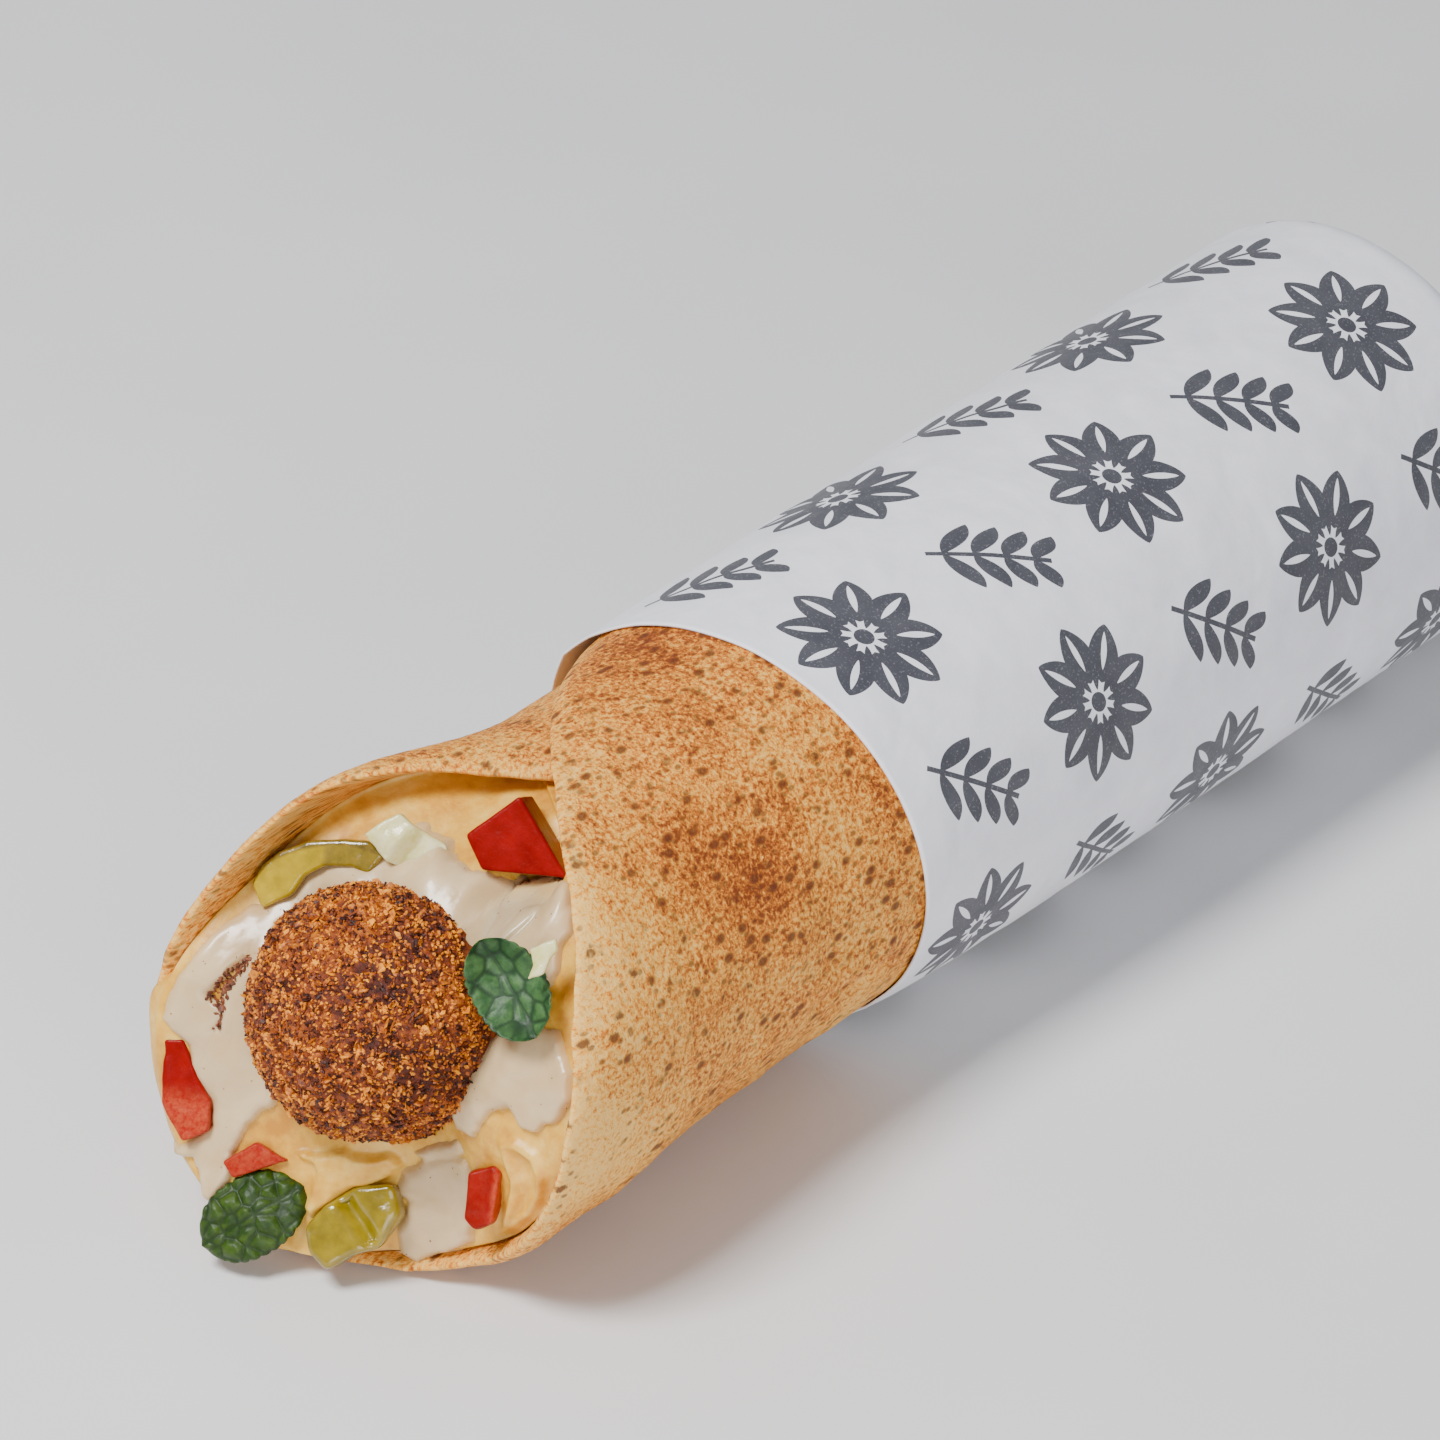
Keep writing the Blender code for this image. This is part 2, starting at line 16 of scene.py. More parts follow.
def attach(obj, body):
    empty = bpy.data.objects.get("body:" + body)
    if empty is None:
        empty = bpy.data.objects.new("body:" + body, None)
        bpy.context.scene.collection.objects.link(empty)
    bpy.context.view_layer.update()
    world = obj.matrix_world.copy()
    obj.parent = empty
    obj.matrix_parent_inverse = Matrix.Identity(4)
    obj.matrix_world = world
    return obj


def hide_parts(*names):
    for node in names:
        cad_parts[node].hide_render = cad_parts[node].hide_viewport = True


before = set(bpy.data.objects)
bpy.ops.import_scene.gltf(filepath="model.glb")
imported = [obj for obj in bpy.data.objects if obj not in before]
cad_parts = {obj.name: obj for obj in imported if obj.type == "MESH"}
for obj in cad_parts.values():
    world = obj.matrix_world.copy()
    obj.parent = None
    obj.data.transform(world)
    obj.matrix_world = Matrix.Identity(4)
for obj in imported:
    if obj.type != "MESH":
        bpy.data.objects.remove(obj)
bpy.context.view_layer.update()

# %% [markdown]
# ## Units
# Shapes are worked out in millimetres along the roll: X runs along its axis, and the model's
# origin is under the middle of its length. One function turns such points into the metres
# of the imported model, so every other cell can speak in millimetres.

# %% Units
MM = 0.001
MIDDLE_X = 26.9
AXIS_HEIGHT = 33.9


def to_metres(points):
    """Points of the roll, in millimetres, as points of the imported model."""
    return (np.asarray(points, float) - (MIDDLE_X, 0, 0)) * MM


# %% [markdown]
# ## Camera
# The photograph looks at the open end from in front, to one side and from above, with a long
# lens, so lines along the roll stay almost parallel. The camera's distance and lens are
# those at which the roll's outlines and the toppings fall where the photograph has them.

# %% Camera
AZIMUTH = math.radians(-49)
ELEVATION = math.radians(34)
CAMERA_DISTANCE = 1.4
LENS = 240.1
TARGET = Vector(to_metres((20.4, 19.1, 33.9)))
towards_camera = Vector((
    math.sin(AZIMUTH) * math.cos(ELEVATION),
    -math.cos(AZIMUTH) * math.cos(ELEVATION),
    math.sin(ELEVATION),
))
camera = bpy.data.objects.new("camera", bpy.data.cameras.new("camera"))
camera.data.lens = LENS
camera.data.sensor_width = 36
camera.location = TARGET + towards_camera * CAMERA_DISTANCE
camera.rotation_euler = towards_camera.to_track_quat("Z", "Y").to_euler()
bpy.context.scene.collection.objects.link(camera)
bpy.context.scene.camera = camera
print("camera at", [round(value, 3) for value in camera.location])

# %% [markdown]
# ## Light
# One soft light stands high on the left and gives the sauce and the pickle their highlights.
# A wider, weaker one low in front keeps the shaded sides readable, and an even pale world
# fills the rest.


# %% Light
def add_light(name, place, size, watts):
    """A square soft light that faces the roll."""
    light = bpy.data.lights.new(name, "AREA")
    light.size = size
    light.energy = watts
    made = bpy.data.objects.new(name, light)
    made.location = place
    made.rotation_euler = (Vector(place) - TARGET).to_track_quat("Z", "Y").to_euler()
    bpy.context.scene.collection.objects.link(made)
    return made


add_light("key_light", (-0.55, 0.12, 0.92), 0.32, 16.0)
add_light("fill_light", (-0.75, -0.85, 0.30), 0.8, 8.5)
world = bpy.data.worlds.new("studio")
world.use_nodes = True
world.node_tree.nodes["Background"].inputs["Color"].default_value = (0.90, 0.93, 1.0, 1)
world.node_tree.nodes["Background"].inputs["Strength"].default_value = 0.40
bpy.context.scene.world = world


# %% [markdown]
# ## Tools for the finishes
# A finish is a Principled shader fed by a few textures. These helpers add one node each, so
# that a recipe reads like a list: some noise, a ramp that colours it, a mix, a bump. Sizes are
# given in millimetres and turned into texture scales here.


# %% Tools for the finishes
def feed(tree, socket, value):
    """Gives a node's input a number, a colour, or another node's output."""
    if isinstance(value, bpy.types.NodeSocket):
        tree.links.new(value, socket)
    elif isinstance(value, tuple) and len(value) == 3 and socket.type == "RGBA":
        socket.default_value = (*value, 1.0)
    else:
        socket.default_value = value


def calc(tree, operation, *values):
    """One step of arithmetic, as a node."""
    node = tree.nodes.new("ShaderNodeMath")
    node.operation = operation
    for socket, value in zip(node.inputs, values):
        feed(tree, socket, value)
    return node.outputs[0]


class Finish:
    """A procedural material under construction."""

    def __init__(self, name, roughness, **fixed):
        self.material = bpy.data.materials.new(name)
        self.material.use_nodes = True
        self.tree = self.material.node_tree
        self.shader = self.tree.nodes["Principled BSDF"]
        self.shader.inputs["Roughness"].default_value = roughness
        for name, value in fixed.items():
            feed(self.tree, self.shader.inputs[name.replace("_", " ")], value)
        self.place = self.tree.nodes.new("ShaderNodeTexCoord").outputs["Object"]
        self.normal = None

    def noise(self, size, detail=2.0, rough=0.5, warp=0.0, where=None):
        """Soft noise with features of about this size, in mm."""
        node = self.tree.nodes.new("ShaderNodeTexNoise")
        feed(self.tree, node.inputs["Vector"], where or self.place)
        node.inputs["Scale"].default_value = 1 / (size * MM)
        node.inputs["Detail"].default_value = detail
        node.inputs["Roughness"].default_value = rough
        node.inputs["Distortion"].default_value = warp
        return node.outputs[0]

    def cells(self, size, where=None):
        """The distance to scattered points about this far apart, in mm."""
        node = self.tree.nodes.new("ShaderNodeTexVoronoi")
        node.voronoi_dimensions = "2D" if where else "3D"
        feed(self.tree, node.inputs["Vector"], where or self.place)
        node.inputs["Scale"].default_value = 1 / (size * MM)
        return node.outputs["Distance"]

    def attribute(self, name, output="Fac"):
        """A value that the piece's mesh carries."""
        node = self.tree.nodes.new("ShaderNodeAttribute")
        node.attribute_name = name
        return node.outputs[output]

    def stretched(self, where, factors):
        """A place, scaled differently along each axis."""
        node = self.tree.nodes.new("ShaderNodeVectorMath")
        node.operation = "MULTIPLY"
        feed(self.tree, node.inputs[0], where)
        node.inputs[1].default_value = factors
        return node.outputs[0]

    def calc(self, operation, *values):
        return calc(self.tree, operation, *values)

    def between(self, value, low, high):
        """0 below low, 1 above high, and a smooth ramp between."""
        node = self.tree.nodes.new("ShaderNodeMapRange")
        node.interpolation_type = "SMOOTHSTEP"
        feed(self.tree, node.inputs["Value"], value)
        node.inputs["From Min"].default_value = low
        node.inputs["From Max"].default_value = high
        return node.outputs[0]

    def ramp(self, value, *stops):
        """Colours along a value: (position, colour) stops."""
        node = self.tree.nodes.new("ShaderNodeValToRGB")
        feed(self.tree, node.inputs[0], value)
        while len(node.color_ramp.elements) < len(stops):
            node.color_ramp.elements.new(0.5)
        for element, (position, colour) in zip(node.color_ramp.elements, stops):
            element.position = position
            element.color = (*colour, 1.0)
        return node.outputs[0]

    def mix(self, share, first, second):
        """The first colour, with this share of the second over it."""
        node = self.tree.nodes.new("ShaderNodeMix")
        node.data_type = "RGBA"
        feed(self.tree, node.inputs[0], share)
        feed(self.tree, node.inputs[6], first)
        feed(self.tree, node.inputs[7], second)
        return node.outputs[2]

    def colour(self, value):
        feed(self.tree, self.shader.inputs["Base Color"], value)

    def roughness(self, value):
        feed(self.tree, self.shader.inputs["Roughness"], value)

    def bump(self, height, depth):
        """Fine relief that the mesh doesn't carry: its depth is in mm."""
        node = self.tree.nodes.new("ShaderNodeBump")
        node.inputs["Distance"].default_value = depth * MM
        feed(self.tree, node.inputs["Height"], height)
        if self.normal:
            feed(self.tree, node.inputs["Normal"], self.normal)
        self.normal = node.outputs[0]
        feed(self.tree, self.shader.inputs["Normal"], self.normal)


# %% [markdown]
# ## Tools for the meshes
# Food has no straight lines, so most pieces are grids of points moved by smooth random waves.
# These helpers make such waves for a whole array of points at once, and turn arrays of
# points and faces into a mesh whose faces point outwards.


# %% Tools for the meshes
def smooth_step(value):
    """0 below 0, 1 above 1, and a smooth ramp between."""
    value = np.clip(value, 0.0, 1.0)
    return value * value * (3 - 2 * value)


def through(points):
    """A smooth function that passes through (position, value) points."""
    at, height = np.array(points, float).T
    after = np.minimum(np.arange(len(at)) + 1, len(at) - 1)
    before = np.maximum(np.arange(len(at)) - 1, 0)
    slopes = (height[after] - height[before]) / (at[after] - at[before])

    def value_at(position):
        position = np.clip(position, at[0], at[-1])
        i = np.clip(np.searchsorted(at, position, side="left") - 1, 0, len(at) - 2)
        span = at[i + 1] - at[i]
        t = (position - at[i]) / span
        return (
            height[i] * (1 + 2 * t) * (1 - t) ** 2
            + height[i + 1] * t * t * (3 - 2 * t)
            + slopes[i] * span * t * (1 - t) ** 2
            - slopes[i + 1] * span * t * t * (1 - t)
        )

    return value_at


def waves(points, size, seed=0):
    """Smooth random waves between -1 and 1, about this far apart."""
    cell = np.asarray(points, float) / size
    low = np.floor(cell).astype(np.int64)
    ease = cell - low
    ease = ease * ease * (3 - 2 * ease)
    total = np.zeros(cell.shape[:-1])
    for corner in itertools.product((0, 1), repeat=3):
        x, y, z = np.moveaxis(low + corner, -1, 0)
        mixed = (x * 73856093) ^ (y * 19349663) ^ (z * 83492791) ^ (seed * 15485863)
        mixed = ((mixed ^ (mixed >> 13)) * 1274126177) & 0xFFFFFFFF
        value = ((mixed ^ (mixed >> 16)) & 0xFFFF) / 32767.5 - 1
        total += value * np.prod(np.where(corner, ease, 1 - ease), axis=-1)
    return total


def finished_mesh(made):
    """An object's mesh with its modifiers applied. The object itself goes."""
    graph = bpy.context.evaluated_depsgraph_get()
    mesh = bpy.data.meshes.new_from_object(made.evaluated_get(graph))
    bpy.data.objects.remove(made)
    return mesh


def add_piece(name, points, faces, finish, slot, **values):
    """A mesh piece from points in mm, with its faces outwards and its values for the finish."""
    mesh = bpy.data.meshes.new(name)
    mesh.from_pydata(to_metres(points), [], faces)
    builder = bmesh.new()
    builder.from_mesh(mesh)
    if builder.calc_volume(signed=True) < 0:
        bmesh.ops.reverse_faces(builder, faces=builder.faces)
    builder.to_mesh(mesh)
    builder.free()
    for key, value in values.items():
        value = np.asarray(value, np.float32)
        kind, field = ("FLOAT_VECTOR", "vector") if value.ndim == 2 else ("FLOAT", "value")
        layer = mesh.attributes.new(key, kind, "POINT")
        layer.data.foreach_set(field, value.ravel())
    mesh.polygons.foreach_set("use_smooth", [True] * len(mesh.polygons))
    mesh.materials.append(finish.material)
    made = bpy.data.objects.new(name, mesh)
    bpy.context.scene.collection.objects.link(made)
    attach(made, "root")
    print(f"{name}: {len(mesh.polygons)} faces")
    return made


def grid_faces(rows, columns, closed_columns=False):
    """The quads between rows and columns of points, as an array."""
    row = np.arange(rows - 1)[:, None]
    column = np.arange(columns if closed_columns else columns - 1)[None, :]
    after = (column + 1) % columns
    corners = (row * columns + column, row * columns + after)
    return np.stack(
        [corners[0], corners[1], corners[1] + columns, corners[0] + columns], axis=-1
    ).reshape(-1, 4)


# %% [markdown]
# ## The bread's rule
# The flatbread is one sheet rolled a little more than once. A place on it is a degree of roll
# and a place along the axis, and its radius grows by one thickness a turn. Its front edge
# isn't straight: it leans back over the filling on one side and crosses the top diagonally.

# %% The bread's rule
THICKNESS = 3.0
START_ANGLE = 104.0
ROLLED_DEGREES = 425.0
CORE_RADIUS = 26.6
ROLL_GROWTH = 3.4
FLARE = 4.2
FLARE_LOSS_BEHIND = 1.9
BULGE, BULGE_TURN, BULGE_WIDTH = 3.4, 50, 16
BREAD_FRONT = through([
    (0, -34), (33, -46), (50, -60), (66, -73.5), (95, -82), (155, -84.5), (180, -83.5),
    (200, -78), (225, -73), (260, -73.5), (300, -69), (330, -59), (360, -45.5),
    (390, -27), (412, -9), (425, 0),
])
FILLING_EDGE = through([
    (0, -42), (33, -36), (65, -60), (92, -80.5), (120, -86.5), (155, -88.5), (185, -85),
    (205, -75), (225, -70.5), (255, -70), (290, -66), (316, -58), (340, -50), (360, -42),
])


def flare(x, turn):
    """How far the bread opens outwards towards its front edge."""
    opening = smooth_step((-22 - x) / 44) * smooth_step((turn - 10) / 32)
    bulge = BULGE * np.exp(-(((turn - BULGE_TURN) / BULGE_WIDTH) ** 2))
    return opening * (FLARE + bulge - FLARE_LOSS_BEHIND * smooth_step((turn - 80) / 160))


def bread_radius(x, turn):
    """The radius of the bread's inner face."""
    return CORE_RADIUS + ROLL_GROWTH * turn / 360 + flare(x, turn)


def roll_point(x, radius, turn):
    """A point at a degree of roll."""
    angle = np.radians(START_ANGLE - turn)
    return np.stack(
        [x + 0 * angle, radius * np.cos(angle), AXIS_HEIGHT + radius * np.sin(angle)], axis=-1
    )


# %% [markdown]
# ## The bread
# The sheet is one grid with two faces. Near its rims both faces draw together in a quarter
# circle, which gives the soft, rounded edge of baked dough. Broad waves lift the blisters that
# steam leaves, and small ones the skin's uneven grain.

# %% The bread's grid
RIM_STEPS = [0.0, 0.10, 0.35, 0.85, 1.6, 2.6]
ROUNDED = 6.5
HIDDEN_FROM_X = 4.0
BREAD_BACK_X = 141.0
MM_PER_DEGREE = 0.52

rim_degrees = np.array(RIM_STEPS) / MM_PER_DEGREE
turns = np.concatenate([
    rim_degrees,
    np.linspace(rim_degrees[-1] + 1.2, ROLLED_DEGREES - rim_degrees[-1] - 1.2, 330),
    ROLLED_DEGREES - rim_degrees[::-1],
])
shown_rows = np.linspace(0, 1, 101)[1:]
hidden_rows = np.array([8, 20, 45, 75, 105, 130, 139, 140.4, BREAD_BACK_X])
turn, row = np.meshgrid(turns, np.arange(len(RIM_STEPS) + len(shown_rows) + len(hidden_rows)),
                        indexing="ij")
along_edge = np.stack([turn * MM_PER_DEGREE, 0 * turn, 0 * turn], axis=-1)
front = BREAD_FRONT(turn) + 0.5 * waves(along_edge, 7, 5) + 0.2 * waves(along_edge, 2.4, 6)
behind = np.concatenate([np.array(RIM_STEPS), np.zeros(len(shown_rows) + len(hidden_rows))])[row]
x = front + behind
shown_at = slice(len(RIM_STEPS), len(RIM_STEPS) + len(shown_rows))
start = front[:, shown_at] + RIM_STEPS[-1]
x[:, shown_at] = start + (HIDDEN_FROM_X - start) * shown_rows
x[:, -len(hidden_rows):] = hidden_rows

slope = np.gradient(BREAD_FRONT(turns), turns * MM_PER_DEGREE)[:, None]
from_front = (x - front) / np.sqrt(1 + slope**2)
from_rim = np.minimum.reduce([
    from_front,
    turn * MM_PER_DEGREE,
    (ROLLED_DEGREES - turn) * MM_PER_DEGREE,
    BREAD_BACK_X - x,
])
half = THICKNESS / 2
half_thickness = half * np.sqrt(1 - (1 - np.clip(from_rim / ROUNDED, 0, 1)) ** 2)
print("bread grid:", turn.shape)

# %% The bread's two faces
puff = np.array([
    max(0.0, noise.noise(Vector((a / 16, b / 24, 0.0)))) for a, b in zip(x.ravel(), turn.ravel())
]).reshape(x.shape)
puff *= 0.9 * smooth_step((-8 - x) / 10) * smooth_step((turn - 90) / 20)
middle = roll_point(x, bread_radius(x, turn) + half + puff, turn)
middle[..., 2] = np.maximum(middle[..., 2], half + 0.25)
along = np.gradient(middle, axis=0)
back = np.gradient(middle, axis=1)
out = np.cross(along, back)
out /= np.linalg.norm(out, axis=-1, keepdims=True)
if (out[200, 50] * (middle[200, 50] - (0, 0, AXIS_HEIGHT)))[1:].sum() < 0:
    out = -out

sheet = np.stack([x, turn * MM_PER_DEGREE, 0 * x], axis=-1)
shown = smooth_step((2 - x) / 6) * smooth_step(from_rim / 2.5)
blisters = 0.55 * waves(sheet, 13, 1) + 0.28 * waves(sheet, 5.5, 2) + 0.11 * waves(sheet, 2.2, 3)
grain = 0.06 * waves(sheet, 0.9, 4)
arc = sheet[..., 1]
fold_line = arc - 139.4 - 0.004 * (x + 6) ** 2 - 0.5 * waves(sheet * (1, 0, 0), 6, 7)
fold = 0.9 * np.exp(-(((fold_line - 3.6) / 3.0) ** 2)) - 0.9 * np.exp(-((fold_line / 1.1) ** 2))
fold *= smooth_step((x + 24) / 12)
outer_relief = (0.75 * blisters * smooth_step((turn - 60) / 40) + grain + fold) * shown
inner_relief = (0.25 * blisters + grain) * shown
outer = middle + out * (half_thickness + outer_relief)[..., None]
inner = middle - out * (half_thickness - inner_relief)[..., None]
outer[..., 2] = np.maximum(outer[..., 2], 0.2)

# %% Join the faces at the rims
count = x.size
on_rim = (from_rim < 1e-6).ravel()
inner_index = np.where(on_rim, np.arange(count), count + np.cumsum(~on_rim) - 1)
quads = grid_faces(*x.shape)
bread_points = np.concatenate([outer.reshape(-1, 3), inner.reshape(-1, 3)[~on_rim]])
bread_faces = np.concatenate([quads, inner_index[quads][:, ::-1]])
mirrored = np.stack([2 * front - x, arc, 0 * x], axis=-1)
bread_sheet = np.concatenate([sheet.reshape(-1, 3), mirrored.reshape(-1, 3)[~on_rim]]) * MM
bread_rim = 1 - smooth_step(from_front.ravel() / 5.0)
bread_rim = np.concatenate([bread_rim, bread_rim[~on_rim]])
print("bread points:", len(bread_points))

# %% Where the oven toasted it
# Each spot: place along the roll, place round it, radius in mm, and how much browner it is
TOASTED = [
    (-6.8, 202.3, 9.0, 0.26), (-16.1, 188.0, 6.0, 0.12), (-26.3, 163.2, 8.5, 0.34),
    (-34.5, 174.8, 5.0, 0.18), (-14.7, 171.3, 4.0, 0.16), (6.4, 167.2, 8.0, 0.22),
    (-35.4, 204.7, 10.0, 0.20), (-57.4, 168.0, 9.0, -0.26), (-22.9, 150.8, 7.0, -0.10),
    (-65.9, 142.9, 11.0, -0.30), (-5.0, 132.0, 8.0, -0.12),
]
toasted = np.zeros(x.shape)
for spot_x, spot_arc, size, strength in TOASTED:
    squared = (x - spot_x) ** 2 + (arc - spot_arc) ** 2
    toasted += strength * np.exp(-squared / size**2)
bread_toasted = toasted.ravel()
bread_toasted = np.concatenate([bread_toasted, 0 * bread_toasted[~on_rim]])

# %% [markdown]
# ## Toasted skin
# Baked flatbread is cream where it stayed soft, golden where it touched the oven, and flecked
# with small brown scorch marks. The recipe reads the bread's own sheet place, so the marks
# follow the roll, and stretches them a little along the sheet.

# %% Toasted skin
skin = Finish("toasted_skin", 0.62, Specular_IOR_Level=0.3, Subsurface_Weight=0.05,
              Subsurface_Radius=(1.0, 0.5, 0.25), Subsurface_Scale=0.002)
on_sheet = skin.attribute("sheet", "Vector")
rim = skin.attribute("rim")
toasted_here = skin.attribute("toasted")
broad = skin.noise(15, 3, 0.55, 0.3, on_sheet)
patchy = skin.noise(3.6, 5, 0.7, 0.5, on_sheet)
fine = skin.noise(0.75, 5, 0.75, 0.3, on_sheet)
toast = skin.calc("MULTIPLY_ADD", broad, 0.50, toasted_here)
toast = skin.calc("MULTIPLY_ADD", patchy, 0.70, skin.calc("SUBTRACT", toast, 0.16))
toast = skin.calc("MULTIPLY_ADD", fine, 2.6, skin.calc("SUBTRACT", toast, 1.28))
toast = skin.calc("MULTIPLY_ADD", skin.between(rim, 0.2, 1.0), -0.12, toast)
baked = skin.ramp(
    toast,
    (0.12, (0.95, 0.56, 0.150)),
    (0.36, (0.92, 0.41, 0.045)),
    (0.58, (0.66, 0.18, 0.012)),
    (0.86, (0.22, 0.042, 0.003)),
)

# %% Scorch marks
# Small round spots of two sizes: ragged by fine noise, and dense only where the oven was hot
ragged = skin.calc("MULTIPLY", skin.calc("SUBTRACT", fine, 0.5), 0.5)
hot = skin.calc("ADD", skin.noise(7, 3, 0.6, 0, on_sheet), skin.calc(
    "MULTIPLY", toasted_here, 0.35))
drawn_out = skin.stretched(on_sheet, (0.6, 1.0, 1.0))
large_spot = skin.between(skin.calc("ADD", skin.cells(3.4, drawn_out), ragged), 0.22, 0.11)
small_spot = skin.between(skin.calc("ADD", skin.cells(1.9, drawn_out), ragged), 0.22, 0.11)
large_spot = skin.calc("MULTIPLY", large_spot, skin.between(hot, 0.44, 0.54))
small_spot = skin.calc("MULTIPLY", small_spot, skin.between(hot, 0.40, 0.54))
spotted = skin.calc("MAXIMUM", large_spot, skin.calc("MULTIPLY", small_spot, 0.8))
skin.colour(skin.mix(skin.calc("MULTIPLY", spotted, 0.88), baked, (0.12, 0.024, 0.004)))
skin.bump(patchy, 0.45)
skin.bump(fine, 0.35)
bread = add_piece("bread_roll", bread_points, bread_faces.tolist(), skin, "toasted_bread",
                  sheet=bread_sheet, rim=bread_rim, toasted=bread_toasted)
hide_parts("pita_bread")

# %% [markdown]
# ## The paper sleeve
# The sleeve follows a rule: a tube with a slanted mouth, a rounded corner and a pleated end.
# Geometry Nodes suit that, because a grid with one corner for each place on the flat sheet can
# be wrapped by arithmetic, and the flat sheet's own places stay as the map for the print.


# %% A start for a Geometry Nodes tree
def geometry_tree(name, inputs):
    """A tree with a geometry output and named inputs, given as name: (socket kind, value)."""
    tree = bpy.data.node_groups.new(name, "GeometryNodeTree")
    tree.is_modifier = True
    tree.interface.new_socket("Geometry", in_out="INPUT", socket_type="NodeSocketGeometry")
    tree.interface.new_socket("Geometry", in_out="OUTPUT", socket_type="NodeSocketGeometry")
    for key, (kind, value) in inputs.items():
        socket = tree.interface.new_socket(key, in_out="INPUT", socket_type="NodeSocket" + kind)
        if kind != "Material":
            socket.default_value = value
    return tree, tree.nodes.new("NodeGroupInput"), tree.nodes.new("NodeGroupOutput")


def bake_tree(name, tree, start, settings):
    """Runs a tree on a mesh, with inputs set by name, and returns the result as a plain mesh."""
    carrier = bpy.data.objects.new(name, start)
    bpy.context.scene.collection.objects.link(carrier)
    modifier = carrier.modifiers.new("Shape", "NODES")
    modifier.node_group = tree
    for item in tree.interface.items_tree:
        if item.item_type == "SOCKET" and item.in_out == "INPUT" and item.name in settings:
            modifier[item.identifier] = settings[item.name]
    return finished_mesh(carrier)


def add_baked(name, mesh):
    """A baked mesh as a piece of the scene."""
    made = bpy.data.objects.new(name, mesh)
    mesh.name = name
    bpy.context.scene.collection.objects.link(made)
    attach(made, "root")
    print(f"{name}: {len(mesh.polygons)} faces")
    return made


def node(tree, kind, settings=None, **inputs):
    """A node with its settings and inputs given by name."""
    made = tree.nodes.new(kind)
    for key, value in (settings or {}).items():
        setattr(made, key, value)
    for key, value in inputs.items():
        feed(tree, made.inputs[key.replace("_", " ")], value)
    return made


# %% The sleeve's tree
PAPER_RADIUS = 34.45
PAPER_END_X = 147.5
PAPER_CORNER = 6.0
TUBE_SHARE = 0.86
CORNER_SHARE = 0.91

tree, given, result = geometry_tree("wrapped_sleeve", {
    "Radius": ("Float", PAPER_RADIUS),
    "End": ("Float", PAPER_END_X),
    "Corner": ("Float", PAPER_CORNER),
    "Pleats": ("Float", 12.0),
    "Pleat depth": ("Float", 0.9),
    "Dents": ("Float", 0.5),
    "Paper": ("Material", None),
})
grid = node(tree, "GeometryNodeMeshGrid", Vertices_X=201, Vertices_Y=221)
grid.inputs["Size X"].default_value = 1
grid.inputs["Size Y"].default_value = 1
flat = tree.nodes.new("ShaderNodeSeparateXYZ")
feed(tree, flat.inputs[0], tree.nodes.new("GeometryNodeInputPosition").outputs[0])


def step(operation, *values):
    return calc(tree, operation, *values)


around = step("MULTIPLY", step("ADD", flat.outputs[0], 0.25), 2 * math.pi)
share = step("ADD", flat.outputs[1], 0.5)
cosine, sine = step("COSINE", around), step("SINE", around)
mouth = step("ADD", step("MULTIPLY", cosine, -5.3), step("MULTIPLY", sine, -1.4))
tube_end = step("SUBTRACT", given.outputs["End"], given.outputs["Corner"])
tube = step("MINIMUM", step("DIVIDE", share, TUBE_SHARE), 1.0)
bend = node(tree, "ShaderNodeClamp", Value=step(
    "DIVIDE", step("SUBTRACT", share, TUBE_SHARE), CORNER_SHARE - TUBE_SHARE)).outputs[0]
bend = step("MULTIPLY", bend, math.pi / 2)
disc = node(tree, "ShaderNodeClamp", Value=step(
    "DIVIDE", step("SUBTRACT", share, CORNER_SHARE), 1 - CORNER_SHARE)).outputs[0]
length = step("MULTIPLY_ADD", step("SUBTRACT", tube_end, mouth), tube, mouth)
length = step("MULTIPLY_ADD", given.outputs["Corner"], step("SINE", bend), length)
rising = step("MULTIPLY", step("MULTIPLY", disc, step("SUBTRACT", 1.0, disc)), 4.0)
pleat = step("COSINE", step("MULTIPLY", around, given.outputs["Pleats"]))
pleat = step("MAXIMUM", step("MULTIPLY", step("MULTIPLY", pleat, given.outputs["Pleat depth"]),
                             rising), 0.0)
length = step("SUBTRACT", step("SUBTRACT", length, step("MULTIPLY", disc, 1.2)), pleat)
corner_loss = step("MULTIPLY", given.outputs["Corner"],
                   step("SUBTRACT", 1.0, step("COSINE", bend)))
radius = step("SUBTRACT", given.outputs["Radius"], corner_loss)
radius = step("MULTIPLY", radius, step("SUBTRACT", 1.0, disc))

# %% The mouth lies against the bread
FLAP_END = 65.0
EASED_DEGREES = 18.0
GAP_AT_START = 4.3
DRAWN_SHARE = 0.86
DRAWN_LENGTH = 16
turn_here = step("SUBTRACT", START_ANGLE - FLAP_END, step("DEGREES", around))
turn_here = step("ADD", step("FLOORED_MODULO", turn_here, 360.0), FLAP_END)
gap = step("MULTIPLY_ADD", turn_here, -ROLL_GROWTH / 360, GAP_AT_START)
past_flap = node(tree, "ShaderNodeClamp", Value=step(
    "DIVIDE", step("SUBTRACT", turn_here, FLAP_END), EASED_DEGREES)).outputs[0]
drawn_in = step("MULTIPLY", step("MULTIPLY", gap, past_flap), DRAWN_SHARE)
near_mouth = step("EXPONENT", step("MULTIPLY", step("SUBTRACT", length, mouth),
                                   -1 / DRAWN_LENGTH))
radius = step("SUBTRACT", radius, step("MULTIPLY", drawn_in, near_mouth))

